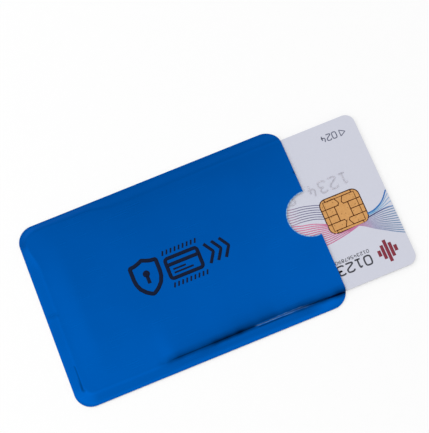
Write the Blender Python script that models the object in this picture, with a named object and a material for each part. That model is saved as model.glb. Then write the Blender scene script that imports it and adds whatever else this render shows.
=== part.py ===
"""A foil and paper card sleeve with a chip card drawn part way out of its mouth.

+X points out of the sleeve's mouth, +Y along the mouth and +Z out of the front face. The origin is the
middle of the sleeve's back face. Lengths are in metres.
"""

import math

import bmesh
import bpy

# Card
CARD_LENGTH = 0.0856
CARD_WIDTH = 0.05398
CARD_CORNER_RADIUS = 0.00318
OVERLAY_THICKNESS = 0.00006
PRINT_SHEET_THICKNESS = 0.00017
INLAY_THICKNESS = 0.00026
GLUE_LINE = 0.00001

# Strips on the card's back
STRIP_THICKNESS = 0.00002
STRIPE_WIDTH = 0.0127
STRIPE_FROM_LONG_EDGE = 0.00554
SIGNATURE_LENGTH = 0.065
SIGNATURE_WIDTH = 0.010
SIGNATURE_FROM_STRIPE = 0.003
SIGNATURE_FROM_OUTER_EDGE = 0.008

# Antenna in the inlay
ANTENNA_TURNS = 4
ANTENNA_INSET = 0.0022
ANTENNA_PITCH = 0.0009
ANTENNA_TRACK_WIDTH = 0.0004
ANTENNA_TRACK_THICKNESS = 0.00012
ANTENNA_CORNER_RADIUS = 0.0020
ANTENNA_GROOVE_GAP = 0.00005

# Chip module, placed by its centre from the card's outer short edge and its lower long edge
CHIP_FROM_SHORT_EDGE = 0.01506
CHIP_FROM_LONG_EDGE = 0.0240
CHIP_LENGTH = 0.0130
CHIP_WIDTH = 0.0118
CHIP_CORNER_RADIUS = 0.0022
CHIP_WINDOW_GAP = 0.00005
CONTACT_THICKNESS = 0.00004
CONTACT_PITCH = 0.00254
CONTACT_GAP = 0.0003
CENTRE_PAD_HALF_LENGTH = 0.00228
CENTRE_BAR_WIDTH = 0.00085
WAIST_HALF_LENGTH = 0.0005
WAIST_FROM_CONTACTS = 0.00066
WAIST_FOOT_HALF_LENGTH = 0.0009
WAIST_HEAD_HALF_LENGTH = 0.00125
BONDING_RING_THICKNESS = 0.00006
BONDING_RING_INSET = 0.0004
RESIN_HOLE_INSET = 0.0018
RESIN_HOLE_RADIUS = 0.0015
RESIN_GAP = 0.0001
DIE_LENGTH = 0.0026
DIE_WIDTH = 0.0022
DIE_THICKNESS = 0.00015
DIE_GAP = 0.00003

# Sleeve
FOIL_THICKNESS = 0.00008
LINER_THICKNESS = 0.0002
SEAM_GLUE_THICKNESS = 0.00008
SEAM_GLUE_SETBACK = 0.0003
SIDE_SEAM_WIDTH = 0.0030
END_SEAM_WIDTH = 0.0027
MOUTH_CORNER_RADIUS = 0.0056
END_CORNER_RADIUS = 0.0056
NOTCH_RADIUS = 0.0075
NOTCH_CENTRE_INSET = 0.0006

# Pocket, pressed into the front sheet round the card
POCKET_SIDE_PLAY = 0.00046
POCKET_END_PLAY = 0.0003
CARD_BACK_GAP = 0.00005
CARD_FRONT_GAP = 0.00008
MOUTH_COVER = 0.0011
RAMP_WIDTH = 0.0008
CROWN_RISE = 0.00038
CROWN_END_FADE = 0.0060
CROWN_POWER = 4

# Where the card rests: how far it stands out of the mouth, and its gap to the pocket's lower side
CARD_OUT = 0.0245
CARD_SIDE_GAP = 0.00011

# Steps of curved edges and of the formed sheet
CORNER_STEPS = 8
NOTCH_STEPS = 24
TRACK_CORNER_STEPS = 4
WAIST_STEPS = 5
RAMP_STEPS = 4
POCKET_CORNER_STEPS = 4
FADE_STEPS = 3
SHEET_STEP = 0.0080

# Working values
CUT_OVERRUN = 0.0010
WELD_DISTANCE = 0.000001
SLOPE_STEP = 0.000001
SMOOTH_ANGLE = math.radians(30)
FLAT_ANGLE = math.radians(1)

# Heights of the layers, from the back face up
back_liner_bottom = FOIL_THICKNESS + GLUE_LINE
back_liner_top = back_liner_bottom + LINER_THICKNESS
card_bottom = back_liner_top + CARD_BACK_GAP + STRIP_THICKNESS + GLUE_LINE
card_thickness = 2 * (OVERLAY_THICKNESS + PRINT_SHEET_THICKNESS) + INLAY_THICKNESS + 4 * GLUE_LINE
seam_glue_bottom = back_liner_top + GLUE_LINE
margin_height = seam_glue_bottom + SEAM_GLUE_THICKNESS + GLUE_LINE
pocket_height = card_bottom + card_thickness + CARD_FRONT_GAP
front_lift = LINER_THICKNESS + GLUE_LINE + FOIL_THICKNESS
sleeve_top = pocket_height + CROWN_RISE + front_lift

# Plan sizes of the sleeve and its pocket
pocket_half_width = CARD_WIDTH / 2 + POCKET_SIDE_PLAY
sleeve_half_width = pocket_half_width + RAMP_WIDTH + SIDE_SEAM_WIDTH
sleeve_half_length = (END_SEAM_WIDTH + RAMP_WIDTH + POCKET_END_PLAY + CARD_LENGTH + MOUTH_COVER) / 2
pocket_end = -sleeve_half_length + END_SEAM_WIDTH + RAMP_WIDTH
pocket_corner_radius = CARD_CORNER_RADIUS

# The card's middle, and the chip's middle measured from it
card_x = sleeve_half_length + CARD_OUT - CARD_LENGTH / 2
card_y = -(POCKET_SIDE_PLAY - CARD_SIDE_GAP)
chip_x = CARD_LENGTH / 2 - CHIP_FROM_SHORT_EDGE
chip_y = CHIP_FROM_LONG_EDGE - CARD_WIDTH / 2
centre_bar_half_length = CHIP_LENGTH / 2 - CHIP_CORNER_RADIUS
centre_bar_y = CHIP_WIDTH / 2 - CENTRE_BAR_WIDTH
waist_y = CONTACT_PITCH + WAIST_FROM_CONTACTS

# Heights in the card, from its back face up
inlay_bottom = OVERLAY_THICKNESS + PRINT_SHEET_THICKNESS + 2 * GLUE_LINE
inlay_top = inlay_bottom + INLAY_THICKNESS
contact_bottom = card_thickness - CONTACT_THICKNESS
ring_bottom = inlay_top + GLUE_LINE
ring_top = ring_bottom + BONDING_RING_THICKNESS
tape_bottom = ring_top + GLUE_LINE
tape_top = contact_bottom - GLUE_LINE
die_top = tape_bottom - GLUE_LINE
die_bottom = die_top - DIE_THICKNESS
track_top = inlay_top - GLUE_LINE
track_bottom = track_top - ANTENNA_TRACK_THICKNESS


def clear_scene():
    """Remove every object, so that the script can be run again in an open file."""
    for item in list(bpy.data.objects):
        bpy.data.objects.remove(item, do_unlink=True)


def new_collection(name):
    """A collection linked to the scene."""
    collection = bpy.data.collections.new(name)
    bpy.context.scene.collection.children.link(collection)
    return collection


def linear(hex_colour):
    """The linear RGBA of an sRGB colour such as 0055AC."""
    channels = [int(hex_colour[i : i + 2], 16) / 255 for i in (0, 2, 4)]
    return [c / 12.92 if c <= 0.04045 else ((c + 0.055) / 1.055) ** 2.4 for c in channels] + [1]


def finish(name, hex_colour, roughness, metallic=0):
    """A Principled material in one colour."""
    material = bpy.data.materials.new(name)
    material.use_nodes = True
    shader = material.node_tree.nodes["Principled BSDF"]
    shader.inputs["Base Color"].default_value = linear(hex_colour)
    shader.inputs["Roughness"].default_value = roughness
    shader.inputs["Metallic"].default_value = metallic
    material.diffuse_color = linear(hex_colour)
    return material


def arc(centre, radius, start, end, steps):
    """Points along an arc between two angles in degrees, both ends included."""
    angles = [math.radians(start + (end - start) * i / steps) for i in range(steps + 1)]
    return [(centre[0] + radius * math.cos(a), centre[1] + radius * math.sin(a)) for a in angles]


def rounded_rectangle(length, width, radius, centre=(0, 0)):
    """A closed outline with four equal corners, anticlockwise."""
    x, y = length / 2 - radius, width / 2 - radius
    corners = [((x, y), 0), ((-x, y), 90), ((-x, -y), 180), ((x, -y), 270)]
    points = []
    for (corner_x, corner_y), start in corners:
        middle = (centre[0] + corner_x, centre[1] + corner_y)
        points += arc(middle, radius, start, start + 90, CORNER_STEPS)
    return points


def module_rectangle(inset, radius):
    """The chip module's outline in the card, set in by a distance, with corners of a radius."""
    return rounded_rectangle(CHIP_LENGTH - 2 * inset, CHIP_WIDTH - 2 * inset, radius, (chip_x, chip_y))


def sleeve_outline(inset=0, notched=True):
    """The die-cut outline of the sleeve's sheets, set in by a distance, with the notch in its mouth edge."""
    x, y = sleeve_half_length - inset, sleeve_half_width - inset
    end, mouth = END_CORNER_RADIUS - inset, MOUTH_CORNER_RADIUS - inset
    points = arc((-x + end, y - end), end, 90, 180, CORNER_STEPS)
    points += arc((-x + end, -y + end), end, 180, 270, CORNER_STEPS)
    points += arc((x - mouth, -y + mouth), mouth, 270, 360, CORNER_STEPS)
    if notched:
        corner = math.degrees(math.acos(NOTCH_CENTRE_INSET / NOTCH_RADIUS))
        centre = (sleeve_half_length - NOTCH_CENTRE_INSET, 0)
        points += arc(centre, NOTCH_RADIUS, -corner, corner - 360, NOTCH_STEPS)
    points += arc((x - mouth, y - mouth), mouth, 0, 90, CORNER_STEPS)
    return points


def flat_piece(name, outlines, bottom, top, material, collection, parent=None):
    """A sheet of even thickness cut along closed outlines, of which all but the first are holes."""
    curve = bpy.data.curves.new(name, "CURVE")
    curve.dimensions = "2D"
    curve.fill_mode = "BOTH"
    curve.extrude = (top - bottom) / 2
    for outline in outlines:
        spline = curve.splines.new("POLY")
        spline.points.add(len(outline) - 1)
        spline.use_cyclic_u = True
        for point, (x, y) in zip(spline.points, outline):
            point.co = (x, y, 0, 1)
    curve.materials.append(material)
    piece = bpy.data.objects.new(name, curve)
    piece.parent = parent
    piece.location.z = (bottom + top) / 2
    collection.objects.link(piece)
    return piece


def meshed(piece):
    """The curve object made a mesh object in the same place, its caps whole and welded to its sides."""
    bpy.context.view_layer.update()
    graph = bpy.context.evaluated_depsgraph_get()
    mesh = bpy.data.meshes.new_from_object(piece.evaluated_get(graph))
    shape = bmesh.new()
    shape.from_mesh(mesh)
    bmesh.ops.remove_doubles(shape, verts=shape.verts, dist=WELD_DISTANCE)
    bmesh.ops.dissolve_limit(shape, angle_limit=FLAT_ANGLE, verts=shape.verts, edges=shape.edges)
    bmesh.ops.recalc_face_normals(shape, faces=shape.faces)
    shape.to_mesh(mesh)
    shape.free()
    name = piece.name
    solid = bpy.data.objects.new(name, mesh)
    solid.parent = piece.parent
    solid.matrix_world = piece.matrix_world
    for collection in piece.users_collection:
        collection.objects.link(solid)
    bpy.data.objects.remove(piece, do_unlink=True)
    solid.name = name
    return solid


def box(name, low, high, material, collection, parent=None):
    """A box between its lowest and highest corners."""
    shape = bmesh.new()
    bmesh.ops.create_cube(shape, size=1)
    for vertex in shape.verts:
        for axis in range(3):
            vertex.co[axis] = low[axis] if vertex.co[axis] < 0 else high[axis]
    mesh = bpy.data.meshes.new(name)
    shape.to_mesh(mesh)
    shape.free()
    mesh.materials.append(material)
    piece = bpy.data.objects.new(name, mesh)
    piece.parent = parent
    collection.objects.link(piece)
    return piece


def as_cutter(piece):
    """A helper that shapes other pieces and isn't one itself."""
    piece.hide_render = True
    piece.display_type = "WIRE"
    return piece


def combine(piece, cutter, operation):
    """Trim a piece with a cutter."""
    modifier = piece.modifiers.new(cutter.name, "BOOLEAN")
    modifier.operation = operation
    modifier.solver = "EXACT"
    modifier.object = cutter


def evenly(start, end, steps):
    """The stations after the start, up to and with the end, at even steps."""
    return [start + (end - start) * i / steps for i in range(1, steps + 1)]


def sheet_stations():
    """Where the formed sheet has its grid lines, close together where it bends."""
    x = [-sleeve_half_length - CUT_OVERRUN, pocket_end - RAMP_WIDTH]
    x += evenly(x[-1], pocket_end, RAMP_STEPS)
    x += evenly(x[-1], pocket_end + pocket_corner_radius, POCKET_CORNER_STEPS)
    x += evenly(x[-1], pocket_end + max(CROWN_END_FADE, 2 * pocket_corner_radius), FADE_STEPS)
    x += evenly(x[-1], sleeve_half_length + CUT_OVERRUN, round(2 * sleeve_half_length / SHEET_STEP))
    y = [0]
    straight = pocket_half_width - pocket_corner_radius
    y += evenly(0, straight, round(straight / SHEET_STEP) + 1)
    y += evenly(y[-1], pocket_half_width, POCKET_CORNER_STEPS)
    y += evenly(y[-1], pocket_half_width + RAMP_WIDTH, RAMP_STEPS)
    y += [sleeve_half_width + CUT_OVERRUN]
    return x, [-place for place in reversed(y[1:])] + y


def smooth_step(share):
    """A rise from 0 to 1 that starts and ends level."""
    share = min(max(share, 0), 1)
    return share * share * (3 - 2 * share)


def pocket_surface(x, y):
    """Height of the pocket's inner face: flat seams, a ramp round three sides and a gentle crown."""
    across = max(abs(y) - pocket_half_width + pocket_corner_radius, 0)
    beyond = max(pocket_end + pocket_corner_radius - x, 0)
    outside = math.hypot(across, beyond) - pocket_corner_radius
    ramp = 1 - smooth_step(outside / RAMP_WIDTH)
    width_share = min(abs(y) / pocket_half_width, 1)
    crown = (1 - width_share**CROWN_POWER) * smooth_step((x - pocket_end) / CROWN_END_FADE)
    return margin_height + (pocket_height - margin_height) * ramp + CROWN_RISE * crown


def slope_stretch(x, y):
    """How much taller a sheet is, measured upright, where it slopes."""
    along = pocket_surface(x + SLOPE_STEP, y) - pocket_surface(x - SLOPE_STEP, y)
    across = pocket_surface(x, y + SLOPE_STEP) - pocket_surface(x, y - SLOPE_STEP)
    return math.hypot(1, along / (2 * SLOPE_STEP), across / (2 * SLOPE_STEP))


def formed_sheet(name, bottom, top, outline, material, collection):
    """A sheet pressed over the pocket, between two distances from the pocket's inner face."""
    x_stations, y_stations = sheet_stations()
    columns, rows = len(x_stations) - 1, len(y_stations) - 1
    shape = bmesh.new()
    bmesh.ops.create_grid(shape, x_segments=columns, y_segments=rows, size=0.5)
    for vertex in shape.verts:
        x = x_stations[round((vertex.co.x + 0.5) * columns)]
        y = y_stations[round((vertex.co.y + 0.5) * rows)]
        vertex.co = (x, y, pocket_surface(x, y) + bottom * slope_stretch(x, y))
    bmesh.ops.triangulate(shape, faces=shape.faces, quad_method="FIXED")
    lifted = bmesh.ops.extrude_face_region(shape, geom=shape.faces[:])
    for vertex in lifted["geom"]:
        if isinstance(vertex, bmesh.types.BMVert):
            vertex.co.z += (top - bottom) * slope_stretch(vertex.co.x, vertex.co.y)
    bmesh.ops.recalc_face_normals(shape, faces=shape.faces)
    mesh = bpy.data.meshes.new(name)
    shape.to_mesh(mesh)
    shape.free()
    mesh.materials.append(material)
    mesh.shade_smooth()
    mesh.set_sharp_from_angle(angle=SMOOTH_ANGLE)
    piece = bpy.data.objects.new(name, mesh)
    collection.objects.link(piece)
    combine(piece, outline, "INTERSECT")
    return piece


def seam_glue(name, low, high, outline, material, collection):
    """A flat strip of glue between the liners, kept inside the sleeve's outline."""
    corners = (*low, seam_glue_bottom), (*high, seam_glue_bottom + SEAM_GLUE_THICKNESS)
    strip = box(name, *corners, material, collection)
    combine(strip, outline, "INTERSECT")


def make_sleeve(parts, cutters):
    """Two foil and paper sheets, glued together round three sides of the pocket."""
    foil = finish("blue_foil", "0055AC", 0.3, 1)
    paper = finish("white_paper", "EDECE8", 0.8)
    glue = finish("seam_glue", "D8D2C0", 0.5)

    outline = [sleeve_outline()]
    flat_piece("back_foil", outline, 0, FOIL_THICKNESS, foil, parts)
    flat_piece("back_liner", outline, back_liner_bottom, back_liner_top, paper, parts)

    die_cut = flat_piece("sleeve_outline", outline, -CUT_OVERRUN, sleeve_top + CUT_OVERRUN, paper, cutters)
    die_cut = as_cutter(meshed(die_cut))
    formed_sheet("front_liner", 0, LINER_THICKNESS, die_cut, paper, parts)
    formed_sheet("front_foil", LINER_THICKNESS + GLUE_LINE, front_lift, die_cut, foil, parts)

    glue_area = [sleeve_outline(SEAM_GLUE_SETBACK, notched=False)]
    glue_limit = flat_piece("glue_outline", glue_area, -CUT_OVERRUN, sleeve_top, glue, cutters)
    glue_limit = as_cutter(meshed(glue_limit))
    seam_x = -sleeve_half_length + END_SEAM_WIDTH
    seam_y = pocket_half_width + RAMP_WIDTH + SEAM_GLUE_SETBACK
    far_x, far_y = sleeve_half_length + CUT_OVERRUN, sleeve_half_width + CUT_OVERRUN
    seam_glue("upper_seam_glue", (seam_x, seam_y), (far_x, far_y), glue_limit, glue, parts)
    seam_glue("lower_seam_glue", (seam_x, -far_y), (far_x, -seam_y), glue_limit, glue, parts)
    seam_glue("end_seam_glue", (-far_x, -far_y), (seam_x - SEAM_GLUE_SETBACK, far_y), glue_limit, glue, parts)


def card_slide(parts):
    """The empty that carries the card, on the line along which it slides."""
    axis = bpy.data.objects.new("card_slide_axis", None)
    axis.location = (card_x, card_y, card_bottom)
    parts.objects.link(axis)
    return axis


def make_card_layers(parts, cutters, axis):
    """The card's five laminated layers. The chip's seat goes through the two front ones and the inlay."""
    clear = finish("clear_overlay", "D4D4DE", 0.3)
    printed = finish("printed_sheet", "CFCEDA", 0.5)
    core = finish("inlay_core", "E8E8E6", 0.6)
    edge = rounded_rectangle(CARD_LENGTH, CARD_WIDTH, CARD_CORNER_RADIUS)
    window = module_rectangle(-CHIP_WINDOW_GAP, CHIP_CORNER_RADIUS + CHIP_WINDOW_GAP)
    resin_hole = module_rectangle(RESIN_HOLE_INSET, RESIN_HOLE_RADIUS)
    back_print_bottom = OVERLAY_THICKNESS + GLUE_LINE
    front_print_bottom = inlay_top + GLUE_LINE
    overlay_bottom = card_thickness - OVERLAY_THICKNESS
    flat_piece("card_back_overlay", [edge], 0, OVERLAY_THICKNESS, clear, parts, axis)
    flat_piece(
        "card_back_print_sheet", [edge], back_print_bottom, inlay_bottom - GLUE_LINE, printed, parts, axis
    )
    flat_piece(
        "card_front_print_sheet",
        [edge, window],
        front_print_bottom,
        overlay_bottom - GLUE_LINE,
        printed,
        parts,
        axis,
    )
    flat_piece("card_front_overlay", [edge, window], overlay_bottom, card_thickness, clear, parts, axis)

    inlay = meshed(flat_piece("card_inlay", [edge, resin_hole], inlay_bottom, inlay_top, core, parts, axis))
    groove_outline = [antenna_outline(ANTENNA_GROOVE_GAP)]
    groove_bottom = track_bottom - GLUE_LINE
    groove = flat_piece(
        "antenna_groove", groove_outline, groove_bottom, inlay_top + CUT_OVERRUN, core, cutters, axis
    )
    combine(inlay, as_cutter(meshed(groove)), "DIFFERENCE")


def rounded_path(points, radius):
    """An open path of square corners, with each corner made an arc."""
    path = [points[0]]
    for before, corner, after in zip(points, points[1:], points[2:]):
        toward = [math.copysign(1, b - c) if b != c else 0 for b, c in zip(before, corner)]
        onward = [math.copysign(1, a - c) if a != c else 0 for a, c in zip(after, corner)]
        for i in range(TRACK_CORNER_STEPS + 1):
            turn = math.pi / 2 * i / TRACK_CORNER_STEPS
            back, on = radius * (1 - math.sin(turn)), radius * (1 - math.cos(turn))
            path.append(tuple(c + back * t + on * o for c, t, o in zip(corner, toward, onward)))
    path.append(points[-1])
    return path


def spiral_corners(shift, overrun):
    """The square corners of the antenna's line, moved in by a shift, with its two ends run on."""
    half = (CARD_LENGTH / 2, CARD_WIDTH / 2)
    # The sides in turn are +X, +Y, -X and -Y, and each lies a quarter of the pitch further in.
    sides = []
    for i in range(4 * ANTENNA_TURNS + 1):
        inset = ANTENNA_INSET + ANTENNA_PITCH * i / 4 + shift
        sign = 1 if i % 4 < 2 else -1
        sides.append(sign * (half[i % 2] - inset))
    points = [(sides[0], -overrun)]
    for i, (side, following) in enumerate(zip(sides, sides[1:])):
        points.append((side, following) if i % 2 == 0 else (following, side))
    points.append((sides[-1], overrun))
    return points


def antenna_outline(gap=0):
    """The outline of the antenna's flat track, or of its groove, which is wider by the gap on each side."""
    half = ANTENNA_TRACK_WIDTH / 2 + gap
    outer = rounded_path(spiral_corners(-half, gap), ANTENNA_CORNER_RADIUS + half)
    inner = rounded_path(spiral_corners(half, gap), ANTENNA_CORNER_RADIUS - half)
    return outer + inner[::-1]


def make_card_fittings(parts, axis):
    """The antenna in its groove, and the stripe and signature panel on the card's back."""
    aluminium = finish("antenna_aluminium", "C8C9CB", 0.35, 1)
    magnetic = finish("magnetic_brown", "2B211D", 0.35)
    signature = finish("signature_white", "EFEDE6", 0.7)
    flat_piece("antenna_coil", [antenna_outline()], track_bottom, track_top, aluminium, parts, axis)

    strip_bottom, strip_top = -STRIP_THICKNESS - GLUE_LINE, -GLUE_LINE
    stripe_y = STRIPE_FROM_LONG_EDGE - CARD_WIDTH / 2
    stripe_x = CARD_LENGTH / 2
    low, high = (-stripe_x, stripe_y, strip_bottom), (stripe_x, stripe_y + STRIPE_WIDTH, strip_top)
    box("magnetic_stripe", low, high, magnetic, parts, axis)
    panel_x = CARD_LENGTH / 2 - SIGNATURE_FROM_OUTER_EDGE
    panel_y = stripe_y + STRIPE_WIDTH + SIGNATURE_FROM_STRIPE
    low = (panel_x - SIGNATURE_LENGTH, panel_y, strip_bottom)
    high = (panel_x, panel_y + SIGNATURE_WIDTH, strip_top)
    box("signature_panel", low, high, signature, parts, axis)


def waist(y):
    """Half the width of the centre pad's neck, which flares to its bar and to its block."""
    if y > waist_y:
        share = (y - waist_y) / (centre_bar_y - waist_y)
        flare = WAIST_HEAD_HALF_LENGTH - WAIST_HALF_LENGTH
    else:
        share = (waist_y - y) / (waist_y - CONTACT_PITCH)
        flare = WAIST_FOOT_HALF_LENGTH - WAIST_HALF_LENGTH
    return WAIST_HALF_LENGTH + flare * (1 - math.cos(math.pi * share)) / 2


def waist_line(shift, start, end):
    """Points up one side of the neck, moved outwards by a shift."""
    stations = [start] + evenly(start, waist_y, WAIST_STEPS)
    stations += evenly(waist_y, end, WAIST_STEPS)
    return [(waist(y) + shift, y) for y in stations]


def corner_contact_outline():
    """The contact in the module's +X, +Y corner, run past the module's edges."""
    half_gap = CONTACT_GAP / 2
    bottom, bar_y = CONTACT_PITCH + half_gap, centre_bar_y - half_gap
    bar_x = centre_bar_half_length + CONTACT_GAP
    far_x, far_y = CHIP_LENGTH / 2 + CUT_OVERRUN, CHIP_WIDTH / 2 + CUT_OVERRUN
    neck = waist_line(half_gap, bottom, bar_y)
    return neck + [(bar_x, bar_y), (bar_x, far_y), (far_x, far_y), (far_x, bottom)]


def side_contact_outline():
    """The contact beside the centre pad, just above the module's middle line."""
    half_gap = CONTACT_GAP / 2
    near_x, far_x = CENTRE_PAD_HALF_LENGTH + half_gap, CHIP_LENGTH / 2 + CUT_OVERRUN
    low_y, high_y = half_gap, CONTACT_PITCH - half_gap
    return [(near_x, low_y), (far_x, low_y), (far_x, high_y), (near_x, high_y)]


def centre_pad_outline():
    """The block between the side contacts, its necks and the bars along the module's long edges."""
    half_gap = CONTACT_GAP / 2
    block_x, block_y = CENTRE_PAD_HALF_LENGTH - half_gap, CONTACT_PITCH - half_gap
    bar_x, bar_y = centre_bar_half_length, centre_bar_y + half_gap
    quarter = [(block_x, block_y)] + waist_line(-half_gap, block_y, bar_y)
    quarter += [(bar_x, bar_y), (bar_x, CHIP_WIDTH / 2)]
    half = quarter + [(-x, y) for x, y in reversed(quarter)]
    return half + [(-x, -y) for x, y in half]


def make_chip(parts, cutters, axis):
    """The chip module: contacts on a carrier tape, held by a glue ring, with the resin drop over the die."""
    gold = finish("contact_gold", "D49F5F", 0.3, 1)
    tape = finish("carrier_tape", "6B5A2E", 0.6)
    ring = finish("ring_glue", "B9AE8A", 0.6)
    resin = finish("potting_resin", "1E1E20", 0.5)
    silicon = finish("silicon", "5A5D66", 0.25, 1)

    outline = module_rectangle(0, CHIP_CORNER_RADIUS)
    over_contacts = card_thickness + CUT_OVERRUN
    module_outline = flat_piece("module_outline", [outline], tape_top, over_contacts, tape, cutters, axis)
    module_outline = as_cutter(meshed(module_outline))

    def pad(name, points, mirror=(1, 1)):
        """One gold pad, in the quarter of the module that the mirror signs give."""
        placed = [(chip_x + mirror[0] * x, chip_y + mirror[1] * y) for x, y in points]
        return flat_piece(name, [placed], contact_bottom, card_thickness, gold, parts, axis)

    def contact(name, points, mirror):
        """One contact, trimmed to the module's outline."""
        combine(meshed(pad(name, points, mirror)), module_outline, "INTERSECT")

    contact("contact_c1_supply", corner_contact_outline(), (1, -1))
    contact("contact_c2_reset", side_contact_outline(), (1, -1))
    contact("contact_c3_clock", side_contact_outline(), (1, 1))
    contact("contact_c4_spare", corner_contact_outline(), (1, 1))
    contact("contact_c5_ground", corner_contact_outline(), (-1, -1))
    contact("contact_c6_programming", side_contact_outline(), (-1, -1))
    contact("contact_c7_data", side_contact_outline(), (-1, 1))
    contact("contact_c8_spare", corner_contact_outline(), (-1, 1))
    pad("chip_centre_pad", centre_pad_outline())

    flat_piece("chip_tape", [outline], tape_bottom, tape_top, tape, parts, axis)
    ring_outline = module_rectangle(BONDING_RING_INSET, CHIP_CORNER_RADIUS - BONDING_RING_INSET)
    resin_hole = module_rectangle(RESIN_HOLE_INSET, RESIN_HOLE_RADIUS)
    flat_piece("chip_bonding_ring", [ring_outline, resin_hole], ring_bottom, ring_top, ring, parts, axis)

    resin_outline = module_rectangle(RESIN_HOLE_INSET + RESIN_GAP, RESIN_HOLE_RADIUS - RESIN_GAP)
    resin_bottom = inlay_bottom + GLUE_LINE
    potting = flat_piece("chip_potting", [resin_outline], resin_bottom, die_top, resin, parts, axis)
    potting = meshed(potting)
    die_x, die_y = DIE_LENGTH / 2, DIE_WIDTH / 2
    low, high = (chip_x - die_x, chip_y - die_y, die_bottom), (chip_x + die_x, chip_y + die_y, die_top)
    box("chip_die", low, high, silicon, parts, axis)
    low = tuple(place - DIE_GAP for place in low)
    high = tuple(place + DIE_GAP for place in high)
    combine(potting, as_cutter(box("die_pocket", low, high, resin, cutters, axis)), "DIFFERENCE")


def main():
    """Build the sleeve and the card that slides in it."""
    clear_scene()
    parts = new_collection("aluminium_card_holder")
    cutters = new_collection("cutters")
    make_sleeve(parts, cutters)
    axis = card_slide(parts)
    make_card_layers(parts, cutters, axis)
    make_card_fittings(parts, axis)
    make_chip(parts, cutters, axis)


if __name__ == "__main__":
    main()
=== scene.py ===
"""Looks for a blue foil card sleeve with a chip card drawn part way out of its mouth.

+X points out of the mouth, +Y along the mouth edge and +Z out of the front face. The origin is the
middle of the sleeve's back face. Lengths are in metres.
"""

import logging
import math
from dataclasses import dataclass
from enum import Enum

import bpy
from mathutils import Matrix, Vector
from mathutils.geometry import delaunay_2d_cdt


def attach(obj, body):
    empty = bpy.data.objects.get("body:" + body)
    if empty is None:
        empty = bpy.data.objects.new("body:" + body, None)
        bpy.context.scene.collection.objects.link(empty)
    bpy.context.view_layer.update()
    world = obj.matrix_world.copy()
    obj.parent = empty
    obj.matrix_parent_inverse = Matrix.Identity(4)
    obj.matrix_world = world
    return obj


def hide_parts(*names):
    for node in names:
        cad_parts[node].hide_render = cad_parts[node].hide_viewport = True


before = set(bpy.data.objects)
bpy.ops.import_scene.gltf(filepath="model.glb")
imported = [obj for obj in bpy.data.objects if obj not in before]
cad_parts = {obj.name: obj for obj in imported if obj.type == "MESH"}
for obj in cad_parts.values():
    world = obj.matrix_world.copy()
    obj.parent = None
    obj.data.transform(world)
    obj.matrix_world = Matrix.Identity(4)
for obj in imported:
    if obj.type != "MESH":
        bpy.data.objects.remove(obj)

Node = bpy.types.Node
Piece = bpy.types.Object
Socket = bpy.types.NodeSocket
Tree = bpy.types.NodeTree
Point = tuple[float, float]
Place = tuple[float, float, float]
Line = list[Point]

log = logging.getLogger("card_holder")

WELD_DISTANCE = 0.000001
SHARP_ANGLE = math.radians(40)
CORNER_CUTS = 3
CHIP_MIDDLE = (0.05469, -0.00334)

# Most of a noise's values lie between these.
NOISE_LOW = 0.3
NOISE_HIGH = 0.7
METAL_RELIEF_SHARE = 0.5
MATT_RELIEF_SHARE = 0.7
PLASTIC_IOR = 1.5
CARD_IOR = 1.54

# Settings that many nodes share.
COLOURS = {"data_type": "RGBA"}
NUMBERS = {"data_type": "FLOAT"}
SMOOTH = {"interpolation_type": "SMOOTHSTEP"}
MINUS = {"operation": "SUBTRACT"}
TIMES = {"operation": "MULTIPLY"}
TIMES_PLUS = {"operation": "MULTIPLY_ADD"}
LARGER = {"operation": "MAXIMUM"}
UNSIGNED = {"operation": "ABSOLUTE"}
SCALED = {"operation": "SCALE"}


class Body(Enum):
    """The two bodies that pieces ride on."""

    SLEEVE = "sleeve"
    CARD = "card"


class Slot(Enum):
    """The record's material slots."""

    FOIL = "foil"
    PAPER = "paper"
    CARD_PLASTIC = "card_plastic"


def linear(hex_colour: str) -> tuple[float, float, float, float]:
    """Turn an sRGB colour such as 0055AC to linear RGBA.

    Args:
        hex_colour: Six hex digits.

    Returns:
        Red, green, blue and alpha.
    """
    channels = [int(hex_colour[i : i + 2], 16) / 255 for i in (0, 2, 4)]
    red, green, blue = [c / 12.92 if c <= 0.04045 else ((c + 0.055) / 1.055) ** 2.4 for c in channels]
    return red, green, blue, 1


def add(tree: Tree, kind: str, settings: dict | None = None, inputs: dict | None = None) -> Node:
    """Add a node with its settings and links.

    Args:
        tree: The tree that takes the node.
        kind: The node's type.
        settings: Values by property name.
        inputs: By input name or number, values, output sockets, or nodes for their first open output.

    Returns:
        The node.
    """
    node = tree.nodes.new(kind)
    for name, value in (settings or {}).items():
        setattr(node, name, value)
    for key, value in (inputs or {}).items():
        if isinstance(value, Node):
            value = next(output for output in value.outputs if output.enabled)
        if isinstance(value, Socket):
            tree.links.new(value, node.inputs[key])
        else:
            node.inputs[key].default_value = value
    return node


def smooth_step(share: float) -> float:
    """A rise from 0 to 1 that starts and ends level."""
    share = min(max(share, 0), 1)
    return share * share * (3 - 2 * share)


def even_step(share: float, ease: float) -> float:
    """A rise from 0 to 1 at one slope, eased at both ends.

    Args:
        share: How far along it is.
        ease: The share of it that each end takes.

    Returns:
        The height there.
    """
    share = min(max(share, 0), 1)
    slope = 1 / (1 - ease)
    if share < ease:
        return slope * share * share / (2 * ease)
    if share > 1 - ease:
        return 1 - slope * (1 - share) ** 2 / (2 * ease)
    return slope * (share - ease / 2)


def between(stations: tuple[Point, ...], x: float) -> float:
    """A value that is eased from station to station.

    Args:
        stations: Places, each with its value.
        x: The place that is asked for.

    Returns:
        The value there.
    """
    for (ax, low), (bx, high) in zip(stations, stations[1:]):
        if x < bx:
            return low + (high - low) * smooth_step((x - ax) / (bx - ax))
    return stations[-1][1]


def bell(away: float) -> float:
    """A rise to 1 at 0 that dies out on both sides within about 2."""
    return math.exp(-(away**2))


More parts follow.
